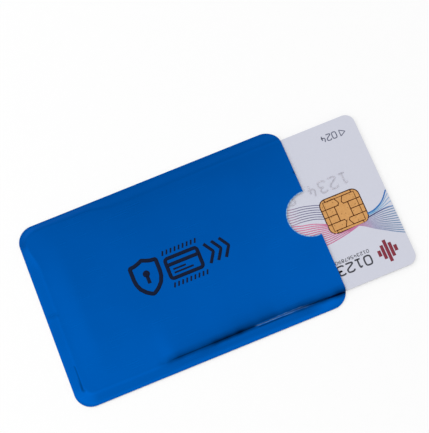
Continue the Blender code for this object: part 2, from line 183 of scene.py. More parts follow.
def arc(centre: Point, radius: float, start: float, end: float, steps: int) -> Line:
    """Points along an arc.

    Args:
        centre: Its middle.
        radius: Its radius.
        start: First angle in degrees.
        end: Last angle in degrees.
        steps: Number of chords.

    Returns:
        The points, both ends included.
    """
    angles = [math.radians(start + (end - start) * i / steps) for i in range(steps + 1)]
    return [(centre[0] + radius * math.cos(a), centre[1] + radius * math.sin(a)) for a in angles]


def rounded_rectangle(middle: Point, halves: Point, corner: float, steps: int) -> Line:
    """A rectangle's outline with round corners, anticlockwise from its right side.

    Args:
        middle: Its middle.
        halves: Half its length along X and half its width along Y.
        corner: Its corners' radius.
        steps: Chords in a corner.

    Returns:
        The points.
    """
    x, y = halves[0] - corner, halves[1] - corner
    line = []
    for (cx, cy), start in (((x, y), 0), ((-x, y), 90), ((-x, -y), 180), ((x, -y), 270)):
        line += arc((middle[0] + cx, middle[1] + cy), corner, start, start + 90, steps)
    return line


def resampled(line: Line, step: float) -> Line:
    """The line with points added between its own.

    Args:
        line: Its points.
        step: The longest chord that is left.

    Returns:
        The points.
    """
    points = [line[0]]
    for (ax, ay), (bx, by) in zip(line, line[1:]):
        cuts = max(1, math.ceil(math.hypot(bx - ax, by - ay) / step))
        points += [(ax + (bx - ax) * i / cuts, ay + (by - ay) * i / cuts) for i in range(1, cuts + 1)]
    return points


def softened(line: Line, closed: bool) -> Line:
    """The line with its corners cut off again and again until they are round.

    Args:
        line: Its points.
        closed: Whether its last point joins its first.

    Returns:
        The rounded line.
    """
    for _ in range(CORNER_CUTS):
        cut = [] if closed else [line[0]]
        pairs = zip(line, line[1:] + line[:1]) if closed else zip(line, line[1:])
        for (ax, ay), (bx, by) in pairs:
            cut.append((0.75 * ax + 0.25 * bx, 0.75 * ay + 0.25 * by))
            cut.append((0.25 * ax + 0.75 * bx, 0.25 * ay + 0.75 * by))
        line = cut if closed else cut + [line[-1]]
    return line


def through(points: Line, steps: int) -> Line:
    """A smooth line through points.

    Args:
        points: The points to pass.
        steps: Chords between two of them.

    Returns:
        The line's points.
    """
    ends = [points[0], *points, points[-1]]
    line = [points[0]]
    for p0, p1, p2, p3 in zip(ends, ends[1:], ends[2:], ends[3:]):
        for i in range(1, steps + 1):
            t = i / steps
            outer = -0.5 * t + t * t - 0.5 * t**3, -0.5 * t * t + 0.5 * t**3
            inner = 1 - 2.5 * t * t + 1.5 * t**3, 0.5 * t + 2 * t * t - 1.5 * t**3
            near = list(zip((outer[0], *inner, outer[1]), (p0, p1, p2, p3)))
            line.append((sum(w * p[0] for w, p in near), sum(w * p[1] for w, p in near)))
    return line


def new_piece(name: str, mesh: bpy.types.Mesh) -> Piece:
    """A linked object for a mesh that holds its own place.

    Args:
        name: The object's name.
        mesh: Its mesh.

    Returns:
        The object.
    """
    piece = bpy.data.objects.new(name, mesh)
    bpy.context.scene.collection.objects.link(piece)
    return piece


def shade_smooth(mesh: bpy.types.Mesh) -> None:
    """Smooth shading, with real corners kept sharp."""
    mesh.shade_smooth()
    mesh.set_sharp_from_angle(angle=SHARP_ANGLE)


def frame_line(tree: Tree, place: Socket, middle: Point, halves: Point, width: float) -> Node:
    """Add the nodes of a line that follows a rectangle's outline.

    Args:
        tree: The material's nodes.
        place: Object coordinates in metres.
        middle: The rectangle's middle.
        halves: Half its length and half its width.
        width: The line's width.

    Returns:
        A factor that is 1 in the line's middle and falls to 0 at its sides.
    """
    axes = add(tree, "ShaderNodeSeparateXYZ", inputs={0: place}).outputs
    past = []
    for axis, half in enumerate(halves):
        from_middle = add(tree, "ShaderNodeMath", MINUS, {0: axes[axis], 1: middle[axis]})
        side = add(tree, "ShaderNodeMath", UNSIGNED, {0: from_middle})
        past.append(add(tree, "ShaderNodeMath", MINUS, {0: side, 1: half}))
    outermost = add(tree, "ShaderNodeMath", LARGER, {0: past[0], 1: past[1]})
    away = add(tree, "ShaderNodeMath", UNSIGNED, {0: outermost})
    fall = {"Value": away, "From Min": width / 2, "From Max": width / 5}
    return add(tree, "ShaderNodeMapRange", SMOOTH, fall)


@dataclass(frozen=True)
class Finish:
    """A surface of one real material. Each kind builds its own patterns in dress."""

    name: str
    roughness: float = 0.5
    roughness_range: float = 0.1
    relief: float = 0.00001

    def material(self) -> bpy.types.Material:
        """The finish as a material, built on its first use."""
        found = bpy.data.materials.get(self.name)
        if found:
            return found
        made = bpy.data.materials.new(self.name)
        made.use_nodes = True
        made.node_tree.nodes.clear()
        place = add(made.node_tree, "ShaderNodeTexCoord").outputs["Object"]
        shader = self.shader(made.node_tree, place)
        add(made.node_tree, "ShaderNodeOutputMaterial", inputs={"Surface": shader})
        return made

    def shader(self, tree: Tree, place: Socket) -> Node:
        """The shader, with the inputs that dress gives."""
        return add(tree, "ShaderNodeBsdfPrincipled", inputs=self.dress(tree, place))

    def dress(self, tree: Tree, place: Socket) -> dict:
        """Build the patterns.

        Args:
            tree: The material's nodes.
            place: Object coordinates in metres.

        Returns:
            The shader's inputs by name.
        """
        raise NotImplementedError

    def uneven(self, tree: Tree, gloss: Node, height: Node, strength: float) -> dict:
        """Let the roughness and the height follow patterns.

        Args:
            tree: The material's nodes.
            gloss: The roughness's pattern.
            height: The height's pattern.
            strength: The height's strength.

        Returns:
            The shader's roughness and normal.
        """
        spread = {0: gloss, 1: self.roughness_range, 2: self.roughness - self.roughness_range / 2}
        rough = add(tree, "ShaderNodeMath", TIMES_PLUS, spread)
        raised = {"Height": height, "Distance": self.relief, "Strength": strength}
        return {"Roughness": rough, "Normal": add(tree, "ShaderNodeBump", inputs=raised)}

    def coat(self, piece: Piece) -> None:
        """Give the whole piece this finish."""
        piece.data.materials.clear()
        piece.data.materials.append(self.material())


@dataclass(frozen=True)
class LacqueredFoil(Finish):
    """Aluminium foil under a blue tinted lacquer, laminated to paper, die cut and pressed.

    The tint colours the metal's own reflection, so the eye sees a deep even satin blue with faint roll
    lines, and uncoated metal where the notch's cut edge has worn through the lacquer. Along the fold a
    dark tone is mixed in as painted shade, and fine lines of uncoated metal on its crest are a painted
    highlight.
    """

    name: str = "lacquered_aluminium_foil"
    roughness: float = 0.27
    roughness_range: float = 0.02
    relief: float = 0.0000015
    lacquer: str = "0054AA"
    lacquer_thick: str = "004E9F"
    # Painted shade: the dark tone mixed in along the fold, in the end crease and in the nick.
    painted_shade_tone: str = "000B24"
    # Uncoated metal: real wear round the notch, and the painted highlight on the fold's crest.
    bare_metal_and_highlight: str = "BCE4EE"
    # The real roll lines are about 0.1 mm apart, too fine to show, so they are drawn at 0.5 mm.
    roll_line: float = 0.0005
    roll_length: float = 0.020
    cloud: float = 0.022
    peel: float = 0.0006
    notch_x: float = 0.04465
    notch_radius: float = 0.0075
    rub_width: float = 0.00032
    # The patches of the rubbed rim: the noise's range that is taken, and how bare it gets.
    patch_range: Point = (0.35, 0.6)
    patch_shares: Point = (0.12, 0.55)
    streak_share: float = 0.006
    roll_height_share: float = 0.12
    # Times the fine relief that the pocket's edge stands out by. It shows on the back sheet only.
    pocket_ridge: float = 0
    pocket_middle: Point = (0.020, 0)
    pocket_halves: Point = (0.06175, 0.02745)
    pocket_ridge_width: float = 0.0022

    def dress(self, tree: Tree, place: Socket) -> dict:
        """Build the tinted metal: roll lines, clouds, worn rim, and the fold's painted shade and highlight.

        Args:
            tree: The material's nodes.
            place: Object coordinates in metres.

        Returns:
            The shader's inputs by name.
        """
        soft = {"Vector": place, "Scale": 1 / self.cloud, "Detail": 3}
        clouds = add(tree, "ShaderNodeTexNoise", inputs=soft)
        drawn = {"Vector": place, "Scale": (1 / self.roll_length, 1 / self.roll_line, 1)}
        along = add(tree, "ShaderNodeMapping", inputs=drawn)
        rolls = add(tree, "ShaderNodeTexNoise", inputs={"Vector": along, "Scale": 1, "Detail": 2})
        fine = {"Vector": place, "Scale": 1 / self.peel, "Detail": 1}
        peel = add(tree, "ShaderNodeTexNoise", inputs=fine)
        tones = {"Factor": clouds, "A": linear(self.lacquer_thick), "B": linear(self.lacquer)}
        tint = add(tree, "ShaderNodeMix", COLOURS, tones)
        taken = {"Value": rolls, "From Min": NOISE_LOW, "From Max": NOISE_HIGH}
        levels = {"To Min": 1 - self.streak_share, "To Max": 1 + self.streak_share}
        streak = add(tree, "ShaderNodeMapRange", inputs={**taken, **levels})
        streaked = add(tree, "ShaderNodeVectorMath", SCALED, {0: tint, "Scale": streak})
        # The fold_shade attribute mixes in painted shade, then uncoated metal gives the worn rim and the
        # painted highlight.
        fold = add(tree, "ShaderNodeAttribute", {"attribute_name": "fold_shade"}).outputs["Fac"]
        tones = {"Factor": fold, "A": streaked, "B": linear(self.painted_shade_tone)}
        painted_fold_shaded = add(tree, "ShaderNodeMix", COLOURS, tones)
        tones = {"Factor": self.worn_rim_and_fold_highlight(tree, place), "A": painted_fold_shaded, "B": linear(self.bare_metal_and_highlight)}
        colour = add(tree, "ShaderNodeMix", COLOURS, tones)
        heights = {0: rolls, 1: self.roll_height_share, 2: peel}
        height = add(tree, "ShaderNodeMath", TIMES_PLUS, heights)
        pocket = frame_line(tree, place, self.pocket_middle, self.pocket_halves, self.pocket_ridge_width)
        relief = add(tree, "ShaderNodeMath", TIMES_PLUS, {0: pocket, 1: self.pocket_ridge, 2: height})
        surface = self.uneven(tree, rolls, relief, METAL_RELIEF_SHARE)
        return {"Base Color": colour, "Metallic": 1, **surface}

    def worn_rim_and_fold_highlight(self, tree: Tree, place: Socket) -> Node:
        """Add uncoated metal: the fold's painted highlight, and patchy wear round the notch's rim.

        Args:
            tree: The material's nodes.
            place: Object coordinates in metres.

        Returns:
            The share of uncoated metal.
        """
        axes = add(tree, "ShaderNodeSeparateXYZ", inputs={0: place}).outputs
        away_x = add(tree, "ShaderNodeMath", MINUS, {0: axes[0], 1: self.notch_x})
        flat = add(tree, "ShaderNodeCombineXYZ", inputs={0: away_x, 1: axes[1]})
        away = add(tree, "ShaderNodeVectorMath", {"operation": "LENGTH"}, {0: flat})
        fine = {"Vector": place, "Scale": 1 / self.peel, "Detail": 2}
        patches = add(tree, "ShaderNodeTexNoise", inputs=fine)
        full, none = self.notch_radius + self.rub_width / 2, self.notch_radius + self.rub_width
        reach = add(tree, "ShaderNodeMapRange", inputs={"Value": away, "From Min": none, "From Max": full})
        (low, high), (least, most) = self.patch_range, self.patch_shares
        spread = {"Value": patches, "From Min": low, "From Max": high, "To Min": least, "To Max": most}
        patchy = add(tree, "ShaderNodeMapRange", inputs=spread)
        rim = add(tree, "ShaderNodeMath", TIMES, {0: reach, 1: patchy})
        # The fold crest's painted highlight, as a share of uncoated metal.
        worn = add(tree, "ShaderNodeAttribute", {"attribute_name": "fold_highlight"}).outputs["Fac"]
        return add(tree, "ShaderNodeMath", LARGER, {0: rim, 1: worn})


@dataclass(frozen=True)
class Grained(Finish):
    """A matt or satin material with one grain that varies its colour, gloss and surface.

    The grain keeps paper, glue, resin and plain plastic from looking like flat paint. A stretch above 1
    draws it out along Y, and one below 1 along X.
    """

    colour: str = "FFFFFF"
    shade: str = "E0E0E0"
    grain: float = 0.0004
    stretch: float = 1
    metallic: float = 0
    ior: float = PLASTIC_IOR
    gloss_share: float = 0.5

    def dress(self, tree: Tree, place: Socket) -> dict:
        """Build the grained surface.

        Args:
            tree: The material's nodes.
            place: Object coordinates in metres.

        Returns:
            The shader's inputs by name.
        """
        drawn = add(tree, "ShaderNodeMapping", inputs={"Vector": place, "Scale": (1, 1 / self.stretch, 1)})
        fine = {"Vector": drawn, "Scale": 1 / self.grain, "Detail": 4, "Roughness": 0.6}
        grain = add(tree, "ShaderNodeTexNoise", inputs=fine)
        tones = {"Factor": grain, "A": linear(self.shade), "B": linear(self.colour)}
        colour = add(tree, "ShaderNodeMix", COLOURS, tones)
        surface = self.uneven(tree, grain, grain, MATT_RELIEF_SHARE)
        found = {"Base Color": colour, "Metallic": self.metallic, **surface}
        if not self.metallic:
            found.update({"IOR": self.ior, "Specular IOR Level": self.gloss_share})
        return found


@dataclass(frozen=True)
class GoldPlate(Finish):
    """Gold over nickel on copper foil, with the isolating lines cut through it.

    It gives a warm satin metal with small dark pits, and brown lines where the tape shows.
    """

    name: str = "gold_plate"
    roughness: float = 0.34
    gold: str = "D2A066"
    gold_dull: str = "B98651"
    pit: str = "44200A"
    # Real pits are a few hundredths of a millimetre, so they are drawn at 0.3 mm to show at all.
    pit_spacing: float = 0.00105
    # A pit's bottom and its rim, as shares of the spacing.
    pit_shares: Point = (0.12, 0.22)
    pit_depth_share: float = 0.5
    brushing: float = 0.0009
    middle: Point = CHIP_MIDDLE
    border_halves: Point = (0.00525, 0.00505)
    border_line: float = 0.00036
    border_depth_share: float = 0.85

    def dress(self, tree: Tree, place: Socket) -> dict:
        """Build the plated metal with its pits and its engraved border.

        Args:
            tree: The material's nodes.
            place: Object coordinates in metres.

        Returns:
            The shader's inputs by name.
        """
        fine = {"Vector": place, "Scale": 1 / self.brushing, "Detail": 3}
        clouds = add(tree, "ShaderNodeTexNoise", inputs=fine)
        tones = {"Factor": clouds, "A": linear(self.gold_dull), "B": linear(self.gold)}
        tone = add(tree, "ShaderNodeMix", COLOURS, tones)
        cells = add(tree, "ShaderNodeTexVoronoi", inputs={"Vector": place, "Scale": 1 / self.pit_spacing})
        bottom, rim = self.pit_shares
        near = {"Value": cells, "From Min": rim, "From Max": bottom, "To Max": self.pit_depth_share}
        pits = add(tree, "ShaderNodeMapRange", inputs=near)
        pitted = add(tree, "ShaderNodeMix", COLOURS, {"Factor": pits, "A": tone, "B": linear(self.pit)})
        border = frame_line(tree, place, self.middle, self.border_halves, self.border_line)
        cut = add(tree, "ShaderNodeMath", TIMES, {0: border, 1: self.border_depth_share})
        colour = add(tree, "ShaderNodeMix", COLOURS, {"Factor": cut, "A": pitted, "B": linear(self.pit)})
        surface = self.uneven(tree, clouds, clouds, METAL_RELIEF_SHARE)
        return {"Base Color": colour, "Metallic": 1, **surface}


@dataclass(frozen=True)
class StudioPaper(Finish):
    """White sweep paper that the camera sees partly by its own light, so that shadows stay pale."""

    name: str = "studio_paper"
    colour: str = "FCFCFC"
    shade: str = "FAFAFA"
    grain: float = 0.004
    own_light_share: float = 0.5

    def shader(self, tree: Tree, place: Socket) -> Node:
        """Build the paper.

        Args:
            tree: The material's nodes.
            place: Object coordinates in metres.

        Returns:
            The shader.
        """
        grain = add(tree, "ShaderNodeTexNoise", inputs={"Vector": place, "Scale": 1 / self.grain})
        tones = {"Factor": grain, "A": linear(self.shade), "B": linear(self.colour)}
        colour = add(tree, "ShaderNodeMix", COLOURS, tones)
        paper = add(tree, "ShaderNodeBsdfDiffuse", inputs={"Color": colour})
        glow = add(tree, "ShaderNodeEmission", inputs={"Color": linear("FFFFFF"), "Strength": 1})
        seen = add(tree, "ShaderNodeLightPath").outputs["Is Camera Ray"]
        share = add(tree, "ShaderNodeMath", TIMES, {0: seen, 1: self.own_light_share})
        return add(tree, "ShaderNodeMixShader", inputs={"Fac": share, 1: paper, 2: glow})


@dataclass(frozen=True)
class WritingPanel(Finish):
    """Screen-printed writing panel: chalky and matt, so that ink holds, under fine slanting lines."""

    name: str = "writing_panel"
    roughness: float = 0.85
    chalk: str = "F0EEE7"
    line: str = "BFC8D2"
    line_pitch: float = 0.0011
    slant: float = math.radians(35)
    tooth: float = 0.00025
    # Where on its wave a printed line starts and is full.
    crest_range: Point = (0.62, 0.85)
    crest_share: float = 0.8

    def dress(self, tree: Tree, place: Socket) -> dict:
        """Build the chalky film and its printed lines.

        Args:
            tree: The material's nodes.
            place: Object coordinates in metres.

        Returns:
            The shader's inputs by name.
        """
        turned = add(tree, "ShaderNodeMapping", inputs={"Vector": place, "Rotation": (0, 0, self.slant)})
        # A wave texture at scale 1 has a band every 0.314 m.
        banded = {"Vector": turned, "Scale": math.pi / 10 / self.line_pitch, "Distortion": 0}
        waves = add(tree, "ShaderNodeTexWave", inputs=banded).outputs["Fac"]
        fine = {"Vector": place, "Scale": 1 / self.tooth, "Detail": 3}
        tooth = add(tree, "ShaderNodeTexNoise", inputs=fine)
        low, high = self.crest_range
        crests = {"Value": waves, "From Min": low, "From Max": high, "To Max": self.crest_share}
        printed = add(tree, "ShaderNodeMapRange", inputs=crests)
        worn = add(tree, "ShaderNodeMath", TIMES, {0: printed, 1: tooth})
        tones = {"Factor": worn, "A": linear(self.chalk), "B": linear(self.line)}
        colour = add(tree, "ShaderNodeMix", COLOURS, tones)
        raised = {"Height": tooth, "Distance": self.relief, "Strength": MATT_RELIEF_SHARE}
        bump = add(tree, "ShaderNodeBump", inputs=raised)
        return {"Base Color": colour, "Roughness": self.roughness, "IOR": PLASTIC_IOR, "Normal": bump}


@dataclass(frozen=True)
class RampedInk(Finish):
    """Offset ink whose colour changes along the card, as from a split ink duct.

    It is a thin semi-matt film, a little uneven where the plastic shows through.
    """

    stops: tuple[tuple[float, str], ...] = ()
    from_x: float = -0.016
    to_x: float = 0.070
    mottle: float = 0.0005
    mottle_share: float = 0.1

    def dress(self, tree: Tree, place: Socket) -> dict:
        """Build the ink from its colour stops, each a share of the way from from_x to to_x.

        Args:
            tree: The material's nodes.
            place: Object coordinates in metres.

        Returns:
            The shader's inputs by name.
        """
        x = add(tree, "ShaderNodeSeparateXYZ", inputs={0: place}).outputs[0]
        way = {"Value": x, "From Min": self.from_x, "From Max": self.to_x}
        share = add(tree, "ShaderNodeMapRange", inputs=way)
        ramp = add(tree, "ShaderNodeValToRGB", inputs={0: share})
        while len(ramp.color_ramp.elements) < len(self.stops):
            ramp.color_ramp.elements.new(1)
        for element, (position_share, colour) in zip(ramp.color_ramp.elements, self.stops):
            element.position = position_share
            element.color = linear(colour)
        fine = {"Vector": place, "Scale": 1 / self.mottle, "Detail": 2}
        mottle = add(tree, "ShaderNodeTexNoise", inputs=fine)
        taken = {"Value": mottle, "From Min": NOISE_LOW, "From Max": NOISE_HIGH}
        levels = {"To Min": 1 - self.mottle_share, "To Max": 1 + self.mottle_share}
        level = add(tree, "ShaderNodeMapRange", inputs={**taken, **levels})
        colour = add(tree, "ShaderNodeVectorMath", SCALED, {0: ramp, "Scale": level})
        return {"Base Color": colour, "Roughness": self.roughness, "IOR": PLASTIC_IOR}


@dataclass(frozen=True)
class TippedPlastic(Finish):
    """Embossed card plastic with silver tipping foil rolled on to the tops of the characters.

    The sides keep the card's colour, and the tops show thin, partly worn grey metal.
    """

    name: str = "tipped_plastic"
    roughness: float = 0.32
    plastic: str = "CDCBD6"
    tip: str = "A2A4B0"
    tip_height: float = 0.00130
    tip_fade: float = 0.00008
    wear: float = 0.0007
    # The noise's range in which the tipping goes from worn off to kept, and how well it covers.
    kept_range: Point = (0.40, 0.58)
    kept_share: float = 0.85

    def dress(self, tree: Tree, place: Socket) -> dict:
        """Build plastic below the tip height and worn tipping above it.

        Args:
            tree: The material's nodes.
            place: Object coordinates in metres.

        Returns:
            The shader's inputs by name.
        """
        z = add(tree, "ShaderNodeSeparateXYZ", inputs={0: place}).outputs[2]
        rise = {"Value": z, "From Min": self.tip_height, "From Max": self.tip_height + self.tip_fade}
        above = add(tree, "ShaderNodeMapRange", inputs=rise)
        fine = {"Vector": place, "Scale": 1 / self.wear, "Detail": 3}
        wear = add(tree, "ShaderNodeTexNoise", inputs=fine)
        low, high = self.kept_range
        patches = {"Value": wear, "From Min": low, "From Max": high, "To Max": self.kept_share}
        kept = add(tree, "ShaderNodeMapRange", inputs=patches)
        tipped = add(tree, "ShaderNodeMath", TIMES, {0: above, 1: kept})
        tones = {"Factor": tipped, "A": linear(self.plastic), "B": linear(self.tip)}
        colour = add(tree, "ShaderNodeMix", COLOURS, tones)
        return {"Base Color": colour, "Roughness": self.roughness, "IOR": CARD_IOR}


FOIL = LacqueredFoil()
BACK_FOIL = LacqueredFoil("back_aluminium_foil", pocket_ridge=60)
# Gold plated over nickel and copper: warm and satin, with small dark pits.
GOLD = GoldPlate()
# Embossed plastic with silver tipping foil rolled on to its tops: partly worn grey metal.
TIPPED_PLASTIC = TippedPlastic()
# Uncoated paper: pressed wood fibres, so soft, matt and faintly mottled.
PAPER = Grained("uncoated_paper", 0.85, 0.1, 0.00002, "F0EFEB", "DDDBD4", 0.0003, 3)
# Dried adhesive: cast between the sheets, so milky and uneven in gloss.
GLUE = Grained("dried_glue", 0.45, 0.2, 0.00003, "DDD8C8", "C9C2AC", 0.0008, ior=1.48)
# Laminated PVC pressed between polished plates: satin, with a very fine press texture.
CARD_FACE = Grained("laminated_pvc", 0.34, 0.08, 0.000004, "CDCFDC", "C8CAD7", 0.0009, ior=CARD_IOR)
# The same plastic in the hollows pressed by the embossing die: matt and shaded.
HOLLOW = Grained("pressed_pvc_hollow", 0.6, 0.1, 0.000004, "A9A8B4", "98979F", 0.0004, 1, 0, CARD_IOR, 0.2)
# PVC sheet under the overlay, flooded with pale offset ink.
PRINT_SHEET = Grained("printed_pvc_sheet", 0.5, 0.1, 0.000004, "CFCDD8", "C6C4CF", 0.0006, ior=CARD_IOR)
# Calendered PVC core sheet: plain milky white.
CORE = Grained("pvc_core_sheet", 0.6, 0.1, 0.000006, "E9E9E7", "DDDDDA", 0.0007, ior=CARD_IOR)
# Chemically etched aluminium foil: dull and faintly grained along the track.
ETCHED = Grained("etched_aluminium", 0.38, 0.15, 0.000006, "CACBCD", "B0B2B5", 0.0002, 4, 1)
# Barium ferrite in binder, rolled on: near black brown, satin, with fine lines along the stripe.
OXIDE = Grained("magnetic_oxide", 0.38, 0.12, 0.000004, "2E241F", "221A17", 0.0004, 0.05)
# Chalky screen ink under printed lines.
WRITING = WritingPanel()
# Woven glass epoxy tape: brown through its resin.
TAPE = Grained("glass_epoxy_tape", 0.55, 0.15, 0.00001, "541E00", "3A1400", 0.0003, 1, 0, 1.55, 0.06)
# Polished silicon: dark grey and mirror-like.
SILICON = Grained("polished_silicon", 0.12, 0.04, 0.000001, "62656E", "565962", 0.0006, metallic=1)
# Cast black resin: smooth meniscus with a little dust.
RESIN = Grained("cast_resin", 0.35, 0.15, 0.00001, "232326", "18181A", 0.0005, ior=1.55)
# Screen ink on foil: near black, semi-matt, faintly mottled over the lacquer.
BLACK_INK = Grained("black_screen_ink", 0.6, 0.12, 0.000006, "0A1734", "060F26", 0.0006, 1, 0, 1.45, 0.12)
# Offset inks on the card: thin satin films.
TEXT_INK = Grained("dark_offset_ink", 0.5, 0.1, 0.000003, "32343F", "262832")
GREY_INK = Grained("grey_offset_ink", 0.5, 0.1, 0.000003, "6C7084", "5C6074")
RED_INK = Grained("dark_red_offset_ink", 0.5, 0.1, 0.000003, "84102E", "700824", 0.0005)
BLUE_INK = Grained("bright_blue_offset_ink", 0.5, 0.1, 0.000003, "1670BA", "0E62AC", 0.0005)
NAVY_STOPS = ((0.0, "2C3564"), (0.5, "44548C"), (1.0, "6C94C4"))
NAVY_INK = RampedInk("navy_to_blue_ink", stops=NAVY_STOPS, from_x=0.0609, to_x=0.0697)
UPPER_STOPS = (
    (0.0, "B98AA8"), (0.62, "B587A6"), (0.67, "6E6A8C"),
    (0.74, "626288"), (0.90, "6FA6D0"), (1.0, "7FA8D0"),
)
UPPER_LINE_INK = RampedInk("lilac_to_blue_ink", stops=UPPER_STOPS)
LOWER_STOPS = (
    (0.0, "D0809E"), (0.64, "D27298"), (0.84, "C2709C"),
    (0.90, "A6A5C2"), (0.95, "7688AC"), (1.0, "6A8EB4"),
)
LOWER_LINE_INK = RampedInk("pink_to_blue_ink", stops=LOWER_STOPS)
# Hot-melt glue squeezed up round the module: brown, and darker still as painted shade of the gap round it.
SEAT_GLUE_AND_GAP_SHADE = Grained("squeezed_hot_melt_and_gap_shade", 0.5, 0.15, 0.000005, "4A2814", "32190C", gloss_share=0.15)
STUDIO_PAPER = StudioPaper()


@dataclass(frozen=True)
class Roll:
    """A faint roll in the sheet whose crests swing to and fro."""

    height: float
    length: float
    swing: float
    swing_length: float
    shift: float = 0

    def at(self, across: float, along: float) -> float:
        """The roll's height at a place across its crests and along them."""
        swung = across / self.length + self.swing * math.sin(along / self.swing_length) + self.shift
        return self.height * math.sin(swung)


@dataclass
class FrontSheet:
    """The front foil and its paper liner: one sheet pressed over the card, with a fold along its edge.

    The card holds the sheet up in a gentle crown. On the lower side the sheet breaks over the card's
    long edge in a tight fold, from the card's inner corner to the mouth. Elsewhere it falls softly to
    the glued margins.
    """

    half_length: float = 0.04525
    half_width: float = 0.03125
    corner: float = 0.0056
    corner_steps: int = 24
    # For the notch and for the lower corner by the mouth, where the fold ends.
    fine_corner_steps: int = 72
    notch_radius: float = 0.0075
    notch_inset: float = 0.0006
    liner_thickness: float = 0.0002
    glue_line: float = 0.00001
    foil_thickness: float = 0.00008
    margin_z: float = 0.00039
    edge_z: float = 0.00122
    crown: float = 0.000305
    crown_fade: float = 0.009
    crown_power: float = 4
    roof_start_x: float = -0.008
    roof_run: float = 0.020
    roof_ridge: float = 0.002
    roof_power: float = 1.5
    even_ease_share: float = 0.2
    even_start_y: float = 0.020
    even_run: float = 0.010
    long_roll: Roll = Roll(0.000006, 0.0071, 1.3, 0.013)
    cross_roll: Roll = Roll(0.000005, 0.0057, 1.7, 0.017, 0.9)
    pocket_half_width: float = 0.02745
    pocket_end_x: float = -0.04175
    pocket_corner: float = 0.00318
    ramp_start: float = 0.0269
    ramp_end: float = 0.0309
    far_ramp_start: float = 0.0287
    far_ramp_end: float = 0.0312
    far_ramp_x: float = -0.0220
    far_ramp_y: float = 0.0160
    far_ramp_run: float = 0.0100
    soft_shoulder: float = 0.00006
    soft_fold_width: float = 0.0011
    soft_fold_start_x: float = -0.036
    soft_fold_growth: float = 0.012
    soft_fold_end_x: float = 0.022
    soft_fold_decay: float = 0.018
    fold_start_x: float = -0.0165
    fold_growth: float = 0.006
    fold_shoulder: float = 0.00022
    fold_inner_y: float = 0.02662
    fold_outer_y: float = 0.02722
    fold_run: float = 0.060
    fold_bend_share: float = 0.70
    fold_deepen_share: float = 0.80
    fold_inner_width: float = 0.00062
    fold_outer_width: float = 0.00058
    fold_inner_drop: float = 0.00024
    fold_outer_drop: float = 0.00100
    # The fold's dark band and the soft shade above it are painted shade in the foil's colour.
    shade_drops: tuple[Point, ...] = (
        (0.0240, 0.00024), (0.0320, 0.00038), (0.0360, 0.00024), (0.0400, 0.00018),
    )
    highlight_drop: float = 0.00015
    crest_shade_shares: tuple[Point, ...] = (
        (-0.0185, 0.0), (-0.0160, 0.14), (-0.0130, 0.53), (-0.0100, 0.59), (-0.0070, 0.50), (-0.0040, 0.52),
        (0.0040, 0.82), (0.0090, 0.80), (0.0140, 0.60), (0.0240, 0.62), (0.0300, 0.74), (0.0360, 0.68),
        (0.0400, 0.52), (0.0430, 0.80),
    )
    soft_shade_shares: tuple[Point, ...] = (
        (-0.0150, 0.0), (-0.0080, 0.22), (0.0, 0.42), (0.0120, 0.90), (0.0200, 0.85), (0.0240, 0.50),
        (0.0320, 0.36), (0.0400, 0.16),
    )
    lower_reaches: tuple[Point, ...] = (
        (-0.0120, 0.00100), (-0.0080, 0.00084), (-0.0020, 0.00120), (0.0040, 0.00080), (0.0220, 0.00086),
        (0.0300, 0.00090), (0.0360, 0.00096), (0.0400, 0.00082),
    )
    upper_reaches: tuple[Point, ...] = (
        (-0.0130, 0.00130), (-0.0060, 0.00120), (0.0100, 0.00102), (0.0220, 0.00110), (0.0280, 0.00118),
        (0.0320, 0.00150), (0.0360, 0.00134), (0.0400, 0.00160),
    )
    soft_onset: float = 0.0010
    soft_reach: float = 0.0020
    ripple_share: float = 0.08
    ripple_lengths: Point = (0.0009, 0.0023)
    # Where the fold's crest has a painted highlight that clears the painted shade, with a thin painted dark
    # line below.
    highlight_start_x: float = 0.0142
    highlight_growth: float = 0.0020
    highlight_end_x: float = 0.0360
    highlight_decay: float = 0.0130
    highlight_clear_share: float = 0.96
    crease_gap: float = 0.00058
    crease_line: float = 0.00028
    crease_shade_share: float = 0.74
    crest_line: float = 0.00040
    highlight_line_reach: float = 0.00011
    # Height and length of the two swings of the highlight's lines.
    highlight_swings: tuple[Point, Point] = ((0.00004, 0.0011), (0.00003, 0.0004))
    highlight_spread: float = 0.00003
    highlight_spread_growth: float = 0.00020
    highlight_spread_x: float = 0.0195
    highlight_spread_run: float = 0.006
    highlight_spot_lengths: Point = (0.0005, 0.0013)
    highlight_spot_share: float = 0.4
    highlight_fade_x: float = 0.0215
    highlight_fade_run: float = 0.0020
    highlight_fade_share: float = 0.4
    brightest_highlight: float = 0.28
    # The short crease by the closed end and the nick in the mouth edge are drawn as painted shade.
    crack_middle: Point = (-0.0421, -0.0216)
    crack_lean: float = 0.025
    crack_half_length: float = 0.0034
    crack_end: float = 0.0010
    crack_half_width: float = 0.00017
    crack_widening: float = 0.00010
    crack_widening_y: float = -0.0190
    crack_widening_run: float = 0.0050
    crack_shade_share: float = 0.42
    crack_more_share: float = 0.12
    crack_rim: float = 1.5
    nick_middle: Point = (0.0452, 0.0146)
    nick_radius: float = 0.00038
    nick_shade_share: float = 0.8
    nick_rim: float = 1.4
    steepest_stretch: float = 1.3
    coarse_step: float = 0.0008
    ramp_step: float = 0.00035
    fold_step: float = 0.00006
    fold_step_along: float = 0.0003
    slope_step: float = 0.00001
    end_grid_x: float = -0.0395
    side_grid_y: float = 0.0255
    fold_grid_low_y: float = -0.0286
    fold_grid_high_y: float = -0.0261
    liner_scale: float = 1.6

    def outside(self, x: float, y: float) -> float:
        """How far out from the pocket's rounded edge a point is.

        Args:
            x: Place along the sleeve.
            y: Place across it.

        Returns:
            The distance, negative inside the pocket.
        """
        across = max(abs(y) - self.pocket_half_width + self.pocket_corner, 0)
        beyond = max(self.pocket_end_x + self.pocket_corner - x, 0)
        return math.hypot(across, beyond) - self.pocket_corner

